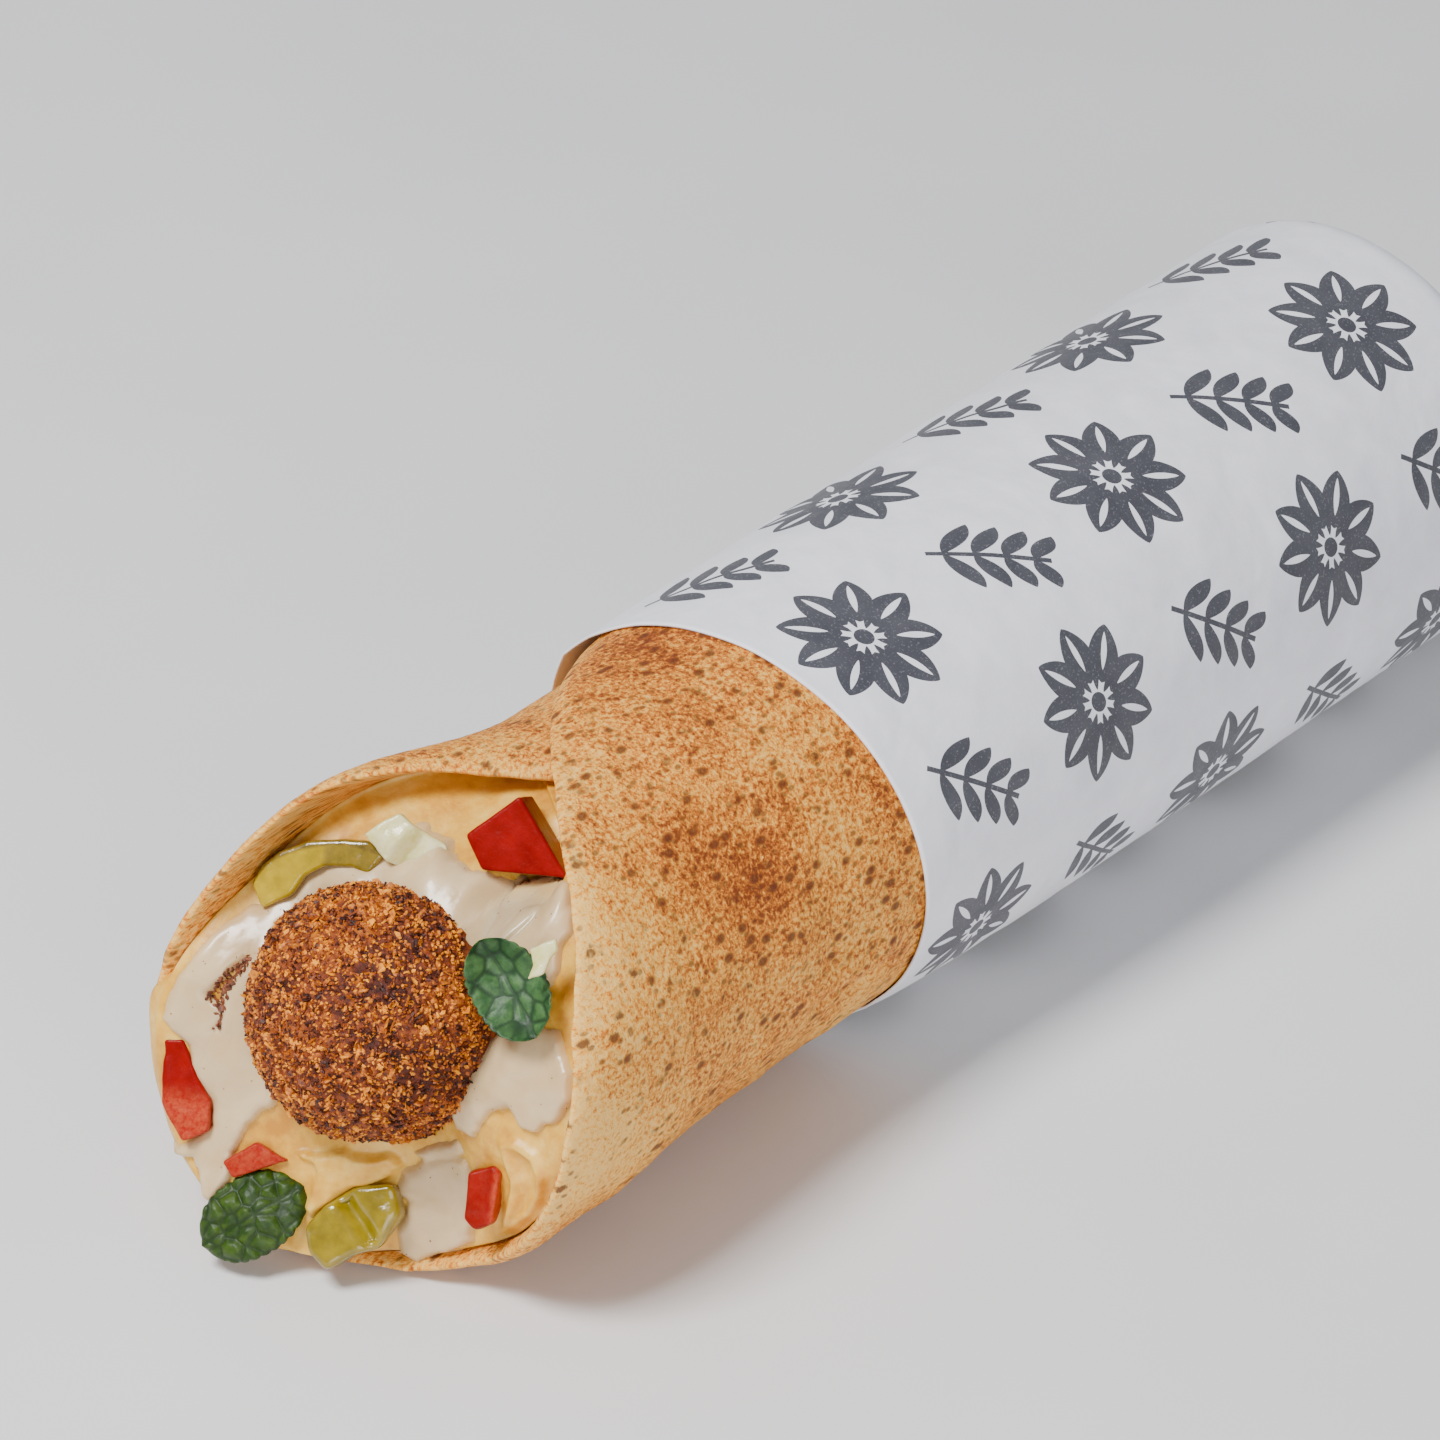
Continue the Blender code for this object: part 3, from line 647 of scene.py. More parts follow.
# %% Dents, the flat strip and the print's map
place = node(tree, "ShaderNodeCombineXYZ", X=length, Y=step("MULTIPLY", cosine, PAPER_RADIUS),
             Z=step("MULTIPLY", sine, PAPER_RADIUS)).outputs[0]
broad_dents = node(tree, "ShaderNodeTexNoise", Vector=place, Scale=0.030, Detail=2.0)
sharp_dents = node(tree, "ShaderNodeTexNoise", Vector=place, Scale=0.075, Detail=1.0,
                   Distortion=0.6)
dent = step("MULTIPLY_ADD", step("ABSOLUTE", step("SUBTRACT", sharp_dents.outputs[0], 0.5)),
            1.4, step("SUBTRACT", 0.5, broad_dents.outputs[0]))
dent = step("MULTIPLY", step("ADD", dent, 0.12), given.outputs["Dents"])
radius = step("SUBTRACT", radius, step("MULTIPLY", dent, step("SUBTRACT", 1.0, disc)))
height = step("MAXIMUM", step("MULTIPLY", radius, sine), -AXIS_HEIGHT)
wrapped = node(tree, "ShaderNodeCombineXYZ", X=length, Y=step("MULTIPLY", radius, cosine),
               Z=step("ADD", height, AXIS_HEIGHT)).outputs[0]
shifted = node(tree, "ShaderNodeVectorMath", {"operation": "SUBTRACT"})
feed(tree, shifted.inputs[0], wrapped)
shifted.inputs[1].default_value = (MIDDLE_X, 0, 0)
scaled = node(tree, "ShaderNodeVectorMath", {"operation": "SCALE"})
feed(tree, scaled.inputs[0], shifted.outputs[0])
scaled.inputs["Scale"].default_value = MM
mapped = node(tree, "GeometryNodeStoreNamedAttribute",
              {"data_type": "FLOAT2", "domain": "CORNER"},
              Geometry=grid.outputs["Mesh"], Name="print_map", Value=grid.outputs["UV Map"])
moved = node(tree, "GeometryNodeSetPosition", Geometry=mapped.outputs[0],
             Position=scaled.outputs[0])
merged = node(tree, "GeometryNodeMergeByDistance", Geometry=moved.outputs[0], Distance=1e-5)
real = node(tree, "GeometryNodeRealizeInstances", Geometry=merged.outputs[0])
smooth = node(tree, "GeometryNodeSetShadeSmooth", Geometry=real.outputs[0])
painted = node(tree, "GeometryNodeSetMaterial", Geometry=smooth.outputs[0],
               Material=given.outputs["Paper"])
feed(tree, result.inputs[0], painted.outputs[0])
print("sleeve tree:", len(tree.nodes), "nodes")

# %% [markdown]
# ## The print
# White food paper carries a dark one-colour print. Here it is a garden pattern of our own:
# flowers and leafy sprigs in a checkerboard. Each motif is arithmetic on the flat sheet's
# map, so its edges stay sharp at any distance, and no image is needed.

# %% The print's cells
CELLS_AROUND = 8
CELL_AROUND = 2 * math.pi * PAPER_RADIUS / CELLS_AROUND
CELL_ALONG = 29.0
SHEET_LENGTH = 147.0 / TUBE_SHARE

paper = Finish("printed_paper", 0.5, Specular_IOR_Level=0.35, Sheen_Weight=0.15)
sheet_map = paper.tree.nodes.new("ShaderNodeUVMap")
sheet_map.uv_map = "print_map"
sheet_split = paper.tree.nodes.new("ShaderNodeSeparateXYZ")
feed(paper.tree, sheet_split.inputs[0], sheet_map.outputs[0])
over = paper.calc("MULTIPLY", sheet_split.outputs[0], CELLS_AROUND)
down = paper.calc("MULTIPLY", sheet_split.outputs[1], SHEET_LENGTH / CELL_ALONG)
column = paper.calc("FLOOR", over)
line = paper.calc("FLOOR", down)
is_sprig = paper.calc("MODULO", paper.calc("ADD", column, line), 2.0)
across = paper.calc("MULTIPLY", paper.calc("SUBTRACT", paper.calc("FRACT", over), 0.5),
                    CELL_AROUND)
up = paper.calc("MULTIPLY", paper.calc("SUBTRACT", paper.calc("FRACT", down), 0.5), CELL_ALONG)


# %% Flowers
def less(value, limit):
    return paper.calc("LESS_THAN", value, limit)


def petal_ring(petals, inner, outer, widest, turned):
    """Ink where a ring of pointed petals is."""
    from_middle = paper.calc("SQRT", paper.calc(
        "ADD", paper.calc("MULTIPLY", across, across), paper.calc("MULTIPLY", up, up)))
    slice_angle = 2 * math.pi / petals
    angle = paper.calc("ADD", paper.calc("ARCTAN2", up, across), turned)
    angle = paper.calc("SUBTRACT", paper.calc("FLOORED_MODULO", angle, slice_angle),
                       slice_angle / 2)
    aside = paper.calc("ABSOLUTE", paper.calc("MULTIPLY", from_middle,
                                              paper.calc("SINE", angle)))
    reach = paper.calc("DIVIDE", paper.calc("SUBTRACT", from_middle, inner), outer - inner)
    swell = paper.calc("SINE", paper.calc("MULTIPLY", reach, math.pi))
    width = paper.calc("MULTIPLY", paper.calc("POWER", paper.calc("MAXIMUM", swell, 0.0), 0.75),
                       widest)
    within = paper.calc("MULTIPLY", paper.calc("GREATER_THAN", reach, 0.0), less(reach, 1.0))
    return paper.calc("MULTIPLY", less(aside, width), within), from_middle


outer_petals, from_middle = petal_ring(9, 3.0, 12.2, 2.9, 0.0)
veins, _ = petal_ring(9, 5.0, 11.0, 0.55, 0.0)
inner_petals, _ = petal_ring(9, 1.8, 6.2, 0.6, math.pi / 9)
flower = paper.calc("MAXIMUM", paper.calc("SUBTRACT", outer_petals, veins), inner_petals)
flower = paper.calc("MAXIMUM", flower, less(from_middle, 1.5))

# %% Sprigs
SPRIG_TILT = math.radians(38)
stem_place = paper.calc("ADD", paper.calc("MULTIPLY", across, math.sin(SPRIG_TILT)),
                        paper.calc("MULTIPLY", up, math.cos(SPRIG_TILT)))
stem_side = paper.calc("SUBTRACT", paper.calc("MULTIPLY", across, math.cos(SPRIG_TILT)),
                       paper.calc("MULTIPLY", up, math.sin(SPRIG_TILT)))
side = paper.calc("ABSOLUTE", stem_side)
leaf_row = paper.calc("DIVIDE", paper.calc("MULTIPLY_ADD", side, -0.75, stem_place), 4.6)
leaf_middle = paper.calc("ABSOLUTE", paper.calc(
    "SUBTRACT", paper.calc("FRACT", paper.calc("ADD", leaf_row, 20.0)), 0.5))
leaf_length = paper.calc("MULTIPLY_ADD", stem_place, -0.16, 6.2)
leaf_share = paper.calc("DIVIDE", side, leaf_length)
leaf_width = paper.calc("MULTIPLY", paper.calc("POWER", paper.calc(
    "MAXIMUM", paper.calc("SINE", paper.calc("MULTIPLY", leaf_share, math.pi)), 0.0), 0.8), 0.40)
leaf = paper.calc("MULTIPLY", less(leaf_middle, leaf_width), less(leaf_share, 1.0))
leaf = paper.calc("MULTIPLY", leaf, less(paper.calc("ABSOLUTE", leaf_row), 2.0))
stem = paper.calc("MULTIPLY", less(side, 0.42), less(paper.calc("ABSOLUTE", stem_place), 9.5))
sprig = paper.calc("MAXIMUM", leaf, stem)

# %% Ink on paper
ink = paper.calc("ADD", paper.calc("MULTIPLY", flower, paper.calc("SUBTRACT", 1.0, is_sprig)),
                 paper.calc("MULTIPLY", sprig, is_sprig))
worn = paper.between(paper.noise(0.35, 2, 0.6), 0.30, 0.42)
fibres = paper.noise(6, 4, 0.6)
white = paper.ramp(fibres, (0.3, (0.77, 0.77, 0.83)), (0.7, (0.85, 0.85, 0.91)))
dark = paper.ramp(fibres, (0.3, (0.045, 0.045, 0.058)), (0.7, (0.07, 0.07, 0.085)))
ink = paper.calc("MULTIPLY", ink, paper.attribute("outside"))
paper.colour(paper.mix(paper.calc("MULTIPLY", ink, paper.calc(
    "MULTIPLY_ADD", worn, 0.12, 0.88)), white, dark))
paper.bump(paper.noise(22, 3, 0.45, 0.5), 1.2)
paper.bump(paper.noise(1.2, 3, 0.6), 0.04)

sleeve_mesh = bake_tree("sleeve_start", tree, bpy.data.meshes.new("start"),
                        {"Paper": paper.material})
sleeve = bpy.data.objects.new("sleeve_wall", sleeve_mesh)
bpy.context.scene.collection.objects.link(sleeve)
wall = sleeve.modifiers.new("Wall", "SOLIDIFY")
wall.thickness = 0.35 * MM
wall.offset = -1
thick = finished_mesh(sleeve)
# The wall's outer points come first, and only they carry ink
outside = np.arange(len(thick.vertices)) < len(sleeve_mesh.vertices)
thick.attributes.new("outside", "FLOAT", "POINT").data.foreach_set(
    "value", outside.astype(np.float32))
sleeve = add_baked("paper_wrap", thick)
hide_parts("paper_sleeve")

# %% [markdown]
# ## The filling's face
# The hummus slants across the open end, sunk in its middle. Everything else lies on it, so one
# function gives the face over any place of the section, and one gives a point that
# stands off it. Outlines on the face are (across, up) from the roll's axis.


# %% The filling's face
def wall_radius(x, turn):
    """The filling's own radius, which narrows beside the bread's inner edge."""
    return bread_radius(x, turn) - 0.8 - ROLL_GROWTH * smooth_step((turn - 344) / 12)


def face_x(y, h):
    """The filling's front face over a place of the section."""
    turn = (START_ANGLE - np.degrees(np.arctan2(h, y))) % 360
    edge = FILLING_EDGE(turn)
    reach = np.minimum(1.0, np.hypot(y, h) / wall_radius(edge, turn))
    brow = smooth_step((turn - 318) / 30) + smooth_step((85 - turn) / 40)
    swirl = np.array([
        noise.noise(Vector((a / 7, b / 7, 3.1))) for a, b in zip(np.ravel(y), np.ravel(h))
    ]).reshape(np.shape(y))
    return -70.0 + (edge + 70.0) * reach ** (1 + 2.2 * brow) + 0.7 * swirl * reach


def on_face(y, h, lift):
    """Points that stand off the face by lift."""
    span = 3.0
    slope_y = (face_x(y + span, h) - face_x(y - span, h)) / (2 * span)
    slope_h = (face_x(y, h + span) - face_x(y, h - span)) / (2 * span)
    normal = np.stack([-np.ones_like(slope_y), slope_y, slope_h], axis=-1)
    normal /= np.linalg.norm(normal, axis=-1, keepdims=True)
    return np.stack([face_x(y, h), y, AXIS_HEIGHT + h], axis=-1) + normal * lift[..., None]


def distance_inside(y, h, outline):
    """How far a place is inside an outline, and below 0 outside it."""
    nearest = np.full(np.shape(y), 1e9)
    crossings = np.zeros(np.shape(y), int)
    for (y0, h0), (y1, h1) in zip(outline, outline[1:] + outline[:1]):
        dy, dh = y1 - y0, h1 - h0
        share = np.clip(((y - y0) * dy + (h - h0) * dh) / (dy * dy + dh * dh), 0, 1)
        nearest = np.minimum(nearest, np.hypot(y - y0 - dy * share, h - h0 - dh * share))
        if dh:
            crossings += ((h0 > h) != (h1 > h)) & (y < y0 + (h - h0) * dy / dh)
    return np.where(crossings % 2 == 1, nearest, -nearest)


# %% [markdown]
# ## Hummus
# The hummus was spread with a spoon: it has soft swells, a slab pushed up under the falafel
# with a torn lower edge, and a curl at the right where the spoon left it. It is a thick
# paste, so its ridges stay rounded.

# %% The hummus relief
SLAB = [
    (9.3, -16.4), (2.7, -14.5), (-3.0, -15.6), (-4.1, -16.9), (-3.0, -18.8), (-1.2, -19.6),
    (1.5, -20.9), (3.4, -23.3), (4.8, -25.4), (6.4, -23.6), (6.2, -21.4), (6.0, -18.6),
]
CURL = [
    (-19.0, -6.9), (-22.1, -5.7), (-25.6, -6.6), (-27.7, -9.3), (-27.7, -13.0),
    (-25.8, -17.1), (-22.2, -20.9), (-19.0, -23.3), (-20.9, -18.1), (-21.2, -12.8),
]


def hummus_relief(y, h):
    """How far the spread hummus stands off its plain face."""
    place = np.stack([y, h, 0 * y], axis=-1)
    ragged = 0.5 * waves(place, 1.6, 11)
    relief = 0.42 * waves(place, 6.5, 12) + 0.20 * waves(place, 2.8, 13)
    relief += 0.06 * waves(place, 1.1, 14)
    relief += 1.5 * smooth_step((distance_inside(y, h, SLAB) + ragged) / 1.1)
    in_curl = distance_inside(y, h, CURL)
    relief += 1.3 * np.exp(-(((in_curl - 0.9) / 0.8) ** 2))
    relief -= 0.9 * smooth_step((in_curl - 1.6) / 1.6)
    relief -= 3.6 * smooth_step((7.5 - np.hypot(y + 9.5, h - 21.5)) / 4)
    relief -= 3.6 * np.exp(-(((y + 11) / 6) ** 2) - ((h - 9) / 6.5) ** 2)
    return relief


# %% The hummus mesh
FACE_RINGS = 110
SEGMENTS = 300
spread_turns = np.linspace(0, 360, SEGMENTS, endpoint=False)
edge = FILLING_EDGE(spread_turns)
bread_edge = BREAD_FRONT(spread_turns)
lip = smooth_step((bread_edge - edge + 0.2) / 1.8) * smooth_step((spread_turns - 70) / 20)
rim_x = np.maximum(edge + 1.7, edge + 2.5 + (bread_edge - 3.2 - edge) * lip)
angle = np.radians(START_ANGLE - spread_turns)
rings = []
for i in range(FACE_RINGS):
    reach = ((i + 1) / FACE_RINGS) ** 0.85
    smeared = 0.7 * smooth_step((reach - 0.8) / 0.2)
    radius = wall_radius(edge, spread_turns) * reach + smeared
    y, h = radius * np.cos(angle), radius * np.sin(angle)
    fade = 1 - 0.8 * smooth_step((reach - 0.9) / 0.1)
    rings.append(on_face(y, h, hummus_relief(y, h) * fade))
wobble = 0.5 * waves(np.stack([20 * np.cos(angle), 20 * np.sin(angle), 0 * angle], -1), 4, 15)
for q in np.linspace(0.08, 1, 12):
    rolled_out = 2.6 * lip * math.sin(min(1, 1.5 * q) * math.pi / 2)
    radius = wall_radius(edge, spread_turns) + 0.7 + rolled_out
    rings.append(roll_point(
        edge + (rim_x - edge) * q, radius + wobble * lip * math.sin(q * math.pi), spread_turns))
for x_back in (0.0, 40.0, 90.0, 139.0):
    rings.append(roll_point(
        np.maximum(rim_x + 0.5, x_back), wall_radius(x_back, spread_turns), spread_turns))
points = np.concatenate(rings)
points[:, 2] = np.maximum(points[:, 2], THICKNESS + 0.75)
tip = on_face(np.zeros(1), np.zeros(1), hummus_relief(np.zeros(1), np.zeros(1)))
back_middle = np.array([[139.0, 0, AXIS_HEIGHT]])
faces = grid_faces(len(rings), SEGMENTS, closed_columns=True).tolist()
first, last = len(points), len(points) + 1
start = (len(rings) - 1) * SEGMENTS
faces += [[first, (i + 1) % SEGMENTS, i] for i in range(SEGMENTS)]
faces += [[last, start + i, start + (i + 1) % SEGMENTS] for i in range(SEGMENTS)]
hummus_points = np.concatenate([points, tip, back_middle])

# %% The hummus finish
paste = Finish("spread_hummus", 0.42, Subsurface_Weight=0.25, Subsurface_Radius=(1.0, 0.6, 0.3),
               Subsurface_Scale=0.0025, Coat_Weight=0.12, Coat_Roughness=0.25)
blend = paste.noise(7, 3, 0.5)
oily = paste.noise(2.4, 4, 0.6)
paste.colour(paste.ramp(
    paste.calc("MULTIPLY_ADD", oily, 0.4, paste.calc("MULTIPLY", blend, 0.6)),
    (0.34, (0.54, 0.22, 0.012)), (0.5, (0.75, 0.39, 0.035)), (0.66, (0.88, 0.57, 0.12))))
paste.bump(paste.noise(0.9, 4, 0.6), 0.12)
hummus = add_piece("spread_hummus", hummus_points, faces, paste, "hummus")
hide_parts("hummus_filling")

# %% [markdown]
# ## Tahini
# The sauce was poured: it is level inside, and its edge is a fat round bead where it stops. One
# sheet covers the outlines and a narrow margin round them. Inside the outlines its top stands off
# the hummus, and outside them it dives under, so the bead closes by itself and no edge needs
# stitching.

# %% The poured outlines
POURED = [
    [
        (30.4, -1.7), (30.8, 1.1), (30.3, 4.4), (29.0, 7.8), (27.7, 10.8), (26.5, 12.6),
        (25.0, 12.6), (24.0, 13.4), (22.9, 15.0), (22.7, 16.9), (21.8, 18.0), (19.2, 18.7),
        (13.5, 19.0), (13.7, 19.8), (16.0, 20.6), (12.0, 21.8), (8.7, 21.6), (4.2, 21.1),
        (0.5, 20.9), (-2.1, 21.0), (-7.3, 22.6), (-14.2, 25.0), (-17.2, 24.1), (-19.1, 22.5),
        (-20.1, 20.4), (-19.4, 19.0), (-20.2, 16.8), (-20.0, 14.0), (-17.0, 11.5),
        (-12.0, 9.0), (-6.7, 12.2), (-2.8, 13.9), (3.6, 12.5), (9.0, 9.1),
        (14.9, 5.8), (13.1, -2.3), (13.2, -10.7), (16.0, -14.1), (17.6, -18.3), (17.0, -20.2),
        (16.9, -23.3), (17.6, -25.3), (19.7, -24.6), (21.1, -21.5), (22.4, -20.0),
        (26.4, -20.3), (23.5, -17.8), (21.2, -15.2), (22.4, -12.3), (24.2, -10.6),
        (25.8, -7.7), (26.5, -5.1), (28.1, -3.9),
    ],
    [
        (-14.7, 8.2), (-20.0, 9.0), (-24.3, 9.4), (-28.3, 6.4), (-29.3, 2.7), (-27.9, -1.0),
        (-24.8, -3.7), (-22.2, -3.8), (-19.7, -2.0), (-17.3, -3.6), (-14.7, -8.4),
        (-11.5, -8.2), (-10.0, -4.7), (-11.6, -1.1), (-12.4, 1.3), (-11.4, 3.8),
    ],
    [
        (-3.6, -18.3), (-6.3, -16.2), (-10.5, -13.8), (-12.6, -13.4), (-14.3, -15.3),
        (-14.9, -18.4), (-15.2, -23.3), (-14.3, -26.5), (-10.2, -29.3), (-7.1, -32.0),
        (-4.9, -30.5), (-4.3, -27.3), (-4.9, -24.3), (-4.8, -22.2), (-2.9, -21.4),
    ],
    [(-4.9, -15.5), (-7.9, -12.5), (-11.4, -10.6), (-12.5, -12.3), (-10.1, -14.8), (-6.5, -16.7)],
]
SLIT = [
    (25.8, 2.0), (24.3, 6.1), (22.7, 8.0), (21.8, 6.9), (22.9, 3.6), (22.7, -2.2),
    (23.9, -2.0), (23.5, 1.0),
]

# %% The sauce sheet
PITCH = 0.32
SAUCE_HEIGHT = 1.25
BEAD = 1.5
DIVE = 1.1
SHEET_MARGIN = 0.9
UNDER_FACE = 2.6
y, h = np.meshgrid(np.arange(-32, 33, PITCH), np.arange(-34, 28, PITCH), indexing="ij")
place = np.stack([y, h, 0 * y], axis=-1)
wander_y = 0.45 * waves(place, 3.0, 21) + 0.15 * waves(place, 1.0, 22)
wander_h = 0.45 * waves(place, 3.0, 23) + 0.15 * waves(place, 1.0, 24)
within = np.max([distance_inside(y + wander_y, h + wander_h, one) for one in POURED], axis=0)
within = np.minimum(within, 0.6 - distance_inside(y + wander_y, h + wander_h, SLIT))
bead = np.sqrt(1 - (1 - np.clip(within / BEAD, 0, 1)) ** 2)
swell = 1 + 0.26 * waves(place, 6.5, 25) + 0.10 * waves(place, 2.6, 26)
swell += 1.5 * np.exp(-(((y - 4) / 4) ** 2) - ((h - 19) / 3) ** 2)
lift = np.where(within > 0, SAUCE_HEIGHT * bead * swell, within * DIVE)
top = on_face(y, h, hummus_relief(y, h) + lift)
under = on_face(y, h, np.full(y.shape, -UNDER_FACE))

used = within > -SHEET_MARGIN
quads = grid_faces(*y.shape)
quads = quads[used.ravel()[quads].all(axis=1)]
edges = np.concatenate([quads[:, [i, (i + 1) % 4]] for i in range(4)])
key = {tuple(edge) for edge in edges.tolist()}
open_edges = [edge for edge in key if (edge[1], edge[0]) not in key]
count = y.size
sides = [[b, a, a + count, b + count] for a, b in open_edges]
faces = np.concatenate([quads, quads[:, ::-1] + count]).tolist() + sides
points = np.concatenate([top.reshape(-1, 3), under.reshape(-1, 3)])
keep = np.unique(np.array([corner for face in faces for corner in face]))
renumber = np.full(len(points), -1)
renumber[keep] = np.arange(len(keep))
faces = [[int(renumber[corner]) for corner in face] for face in faces]

# %% The sauce finish
sauce = Finish("tahini_sauce", 0.3, Subsurface_Weight=0.3, Subsurface_Radius=(1.0, 0.75, 0.5),
               Subsurface_Scale=0.003, Coat_Weight=0.22, Coat_Roughness=0.14)
stirred = sauce.noise(6, 3, 0.5, 0.5)
thin = sauce.between(sauce.attribute("depth"), 0.1, 1.3)
cream = sauce.ramp(stirred, (0.3, (0.57, 0.39, 0.195)), (0.7, (0.68, 0.50, 0.28)))
sauce.colour(sauce.mix(thin, (0.68, 0.45, 0.19), cream))
sauce.bump(sauce.noise(2.0, 2, 0.5), 0.10)
tahini = add_piece("poured_tahini", points[keep], faces, sauce, "tahini",
                   depth=np.tile(lift.ravel(), 2)[keep])
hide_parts("tahini_left", "tahini_right", "tahini_pool")

# %% [markdown]
# ## The falafel
# A falafel is a ball of coarse paste with a rough fried crust. The crust is made in two
# steps: the ball's own surface is broken into granules and crevices by waves of four sizes,
# with painted shade in the crevices, and then Geometry Nodes scatter loose crumbs and golden
# flakes over it.

# %% The falafel ball
FALAFEL_RADIUS = 18.6
falafel_middle = on_face(np.array([3.9]), np.array([3.9]), np.array([0.0]))[0]
builder = bmesh.new()
bmesh.ops.create_icosphere(builder, subdivisions=7, radius=FALAFEL_RADIUS)
directions = np.array([vertex.co[:] for vertex in builder.verts]) / FALAFEL_RADIUS
ball_faces = [[vertex.index for vertex in face.verts] for face in builder.faces]
builder.free()
at = directions * FALAFEL_RADIUS
lumps = 1.1 * waves(at, 9, 31) + 0.7 * waves(at, 3.4, 32)
granules = 1 - np.abs(waves(at, 1.2, 33)) * 2
small = waves(at, 0.6, 34)
crust = 0.60 * lumps + 0.38 * granules + 0.28 * small
depth = np.clip(0.7 - 0.8 * crust, -0.5, 2.1)
ball = at - directions * depth[:, None]
# high is 1 on the raised grains and 0 in the crevices; the crust's finish uses it for painted
# shade in the crevices
high = np.clip(1 - (depth + 0.2) / 1.8, 0, 1)
print("falafel middle:", falafel_middle.round(1))

# %% The crust's finish
crumb = Finish("fried_crust", 0.55, Specular_IOR_Level=0.35)
# Painted shade: the crevices come out darker and the raised grains lighter, by the mesh's high
# value
raised = crumb.attribute("high")
spice = crumb.noise(2.2, 4, 0.7)
tone = crumb.calc("MULTIPLY_ADD", raised, 0.62, crumb.calc("MULTIPLY", spice, 0.5))
tone = crumb.calc("MULTIPLY_ADD", crumb.noise(0.5, 3, 0.7), 0.35,
                  crumb.calc("SUBTRACT", tone, 0.18))
crumb.colour(crumb.ramp(
    tone,
    (0.28, (0.018, 0.003, 0.001)), (0.48, (0.080, 0.011, 0.002)),
    (0.66, (0.26, 0.047, 0.002)), (0.90, (0.56, 0.16, 0.004))))
crumb.bump(crumb.noise(0.6, 4, 0.7), 0.35)
falafel = add_piece("falafel", ball + falafel_middle, ball_faces, crumb, "fried_crust",
                    high=high)
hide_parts("falafel_ball")

# %% [markdown]
# ## Loose crumbs
# The tree scatters points over the ball, puts one of three ragged shapes on each, turns and
# scales them at random, and stores a random shade on each for the finish. Flakes are the same
# shapes, larger, flatter and fewer. The same tree makes the crumbs that fell in the sauce.

# %% The scattering tree
tree, given, result = geometry_tree("scattered_crumbs", {
    "Smallest": ("Vector", (0.3, 0.3, 0.2)),
    "Largest": ("Vector", (1.0, 0.8, 0.5)),
    "Crumbs per square metre": ("Float", 500000.0),
    "Tilt": ("Float", 3.1),
    "Seed": ("Int", 1),
    "Crust": ("Material", None),
})
scatter = node(tree, "GeometryNodeDistributePointsOnFaces", Mesh=given.outputs["Geometry"],
               Density=given.outputs["Crumbs per square metre"], Seed=given.outputs["Seed"])
shapes = tree.nodes.new("GeometryNodeGeometryToInstance")
for k in range(3):
    stone = node(tree, "GeometryNodeMeshIcoSphere", Radius=MM / 2, Subdivisions=1)
    roughen = node(tree, "ShaderNodeTexNoise", {"noise_dimensions": "4D"}, W=7.3 * k + 1,
                   Scale=900.0, Detail=1.0)
    centred = node(tree, "ShaderNodeVectorMath", {"operation": "SUBTRACT"})
    feed(tree, centred.inputs[0], roughen.outputs["Color"])
    centred.inputs[1].default_value = (0.5, 0.5, 0.5)
    reach = node(tree, "ShaderNodeVectorMath", {"operation": "SCALE"})
    feed(tree, reach.inputs[0], centred.outputs[0])
    reach.inputs["Scale"].default_value = 0.9 * MM
    ragged = node(tree, "GeometryNodeSetPosition", Geometry=stone.outputs[0],
                  Offset=reach.outputs[0])
    feed(tree, shapes.inputs[0], ragged.outputs[0])
tilt = node(tree, "FunctionNodeRandomValue", {"data_type": "FLOAT_VECTOR"},
            Seed=given.outputs["Seed"])
feed(tree, tilt.inputs["Max"], node(tree, "ShaderNodeCombineXYZ", X=given.outputs["Tilt"],
                                    Y=given.outputs["Tilt"], Z=6.28).outputs[0])
turned = node(tree, "FunctionNodeRotateRotation", {"rotation_space": "LOCAL"},
              Rotation=scatter.outputs["Rotation"], Rotate_By=tilt.outputs[0])
grown = node(tree, "FunctionNodeRandomValue", {"data_type": "FLOAT_VECTOR"},
             Min=given.outputs["Smallest"], Max=given.outputs["Largest"],
             Seed=given.outputs["Seed"])
placed = node(tree, "GeometryNodeInstanceOnPoints", Points=scatter.outputs["Points"],
              Instance=shapes.outputs[0], Pick_Instance=True, Rotation=turned.outputs[0],
              Scale=grown.outputs[0])
shade = node(tree, "FunctionNodeRandomValue", {"data_type": "FLOAT"}, Seed=77)
stored = node(tree, "GeometryNodeStoreNamedAttribute",
              {"data_type": "FLOAT", "domain": "INSTANCE"}, Geometry=placed.outputs[0],
              Name="shade", Value=shade.outputs[1])
real = node(tree, "GeometryNodeRealizeInstances", Geometry=stored.outputs[0])
painted = node(tree, "GeometryNodeSetMaterial", Geometry=real.outputs[0],
               Material=given.outputs["Crust"])
feed(tree, result.inputs[0], painted.outputs[0])

# %% The crumbs' finish
loose = Finish("loose_crumbs", 0.5, Specular_IOR_Level=0.4)
fried = loose.calc("MULTIPLY_ADD", loose.noise(3.2, 3, 0.6), 1.1, loose.calc(
    "MULTIPLY", loose.attribute("shade"), 0.42))
fried = loose.calc("MULTIPLY_ADD", loose.noise(0.5, 3, 0.7), 0.5, loose.calc(
    "SUBTRACT", fried, 0.42))
loose.colour(loose.ramp(
    fried,
    (0.32, (0.024, 0.003, 0.001)), (0.48, (0.11, 0.016, 0.001)), (0.62, (0.40, 0.088, 0.002)),
    (0.84, (0.90, 0.32, 0.008))))
loose.bump(loose.noise(0.3, 3, 0.6), 0.1)



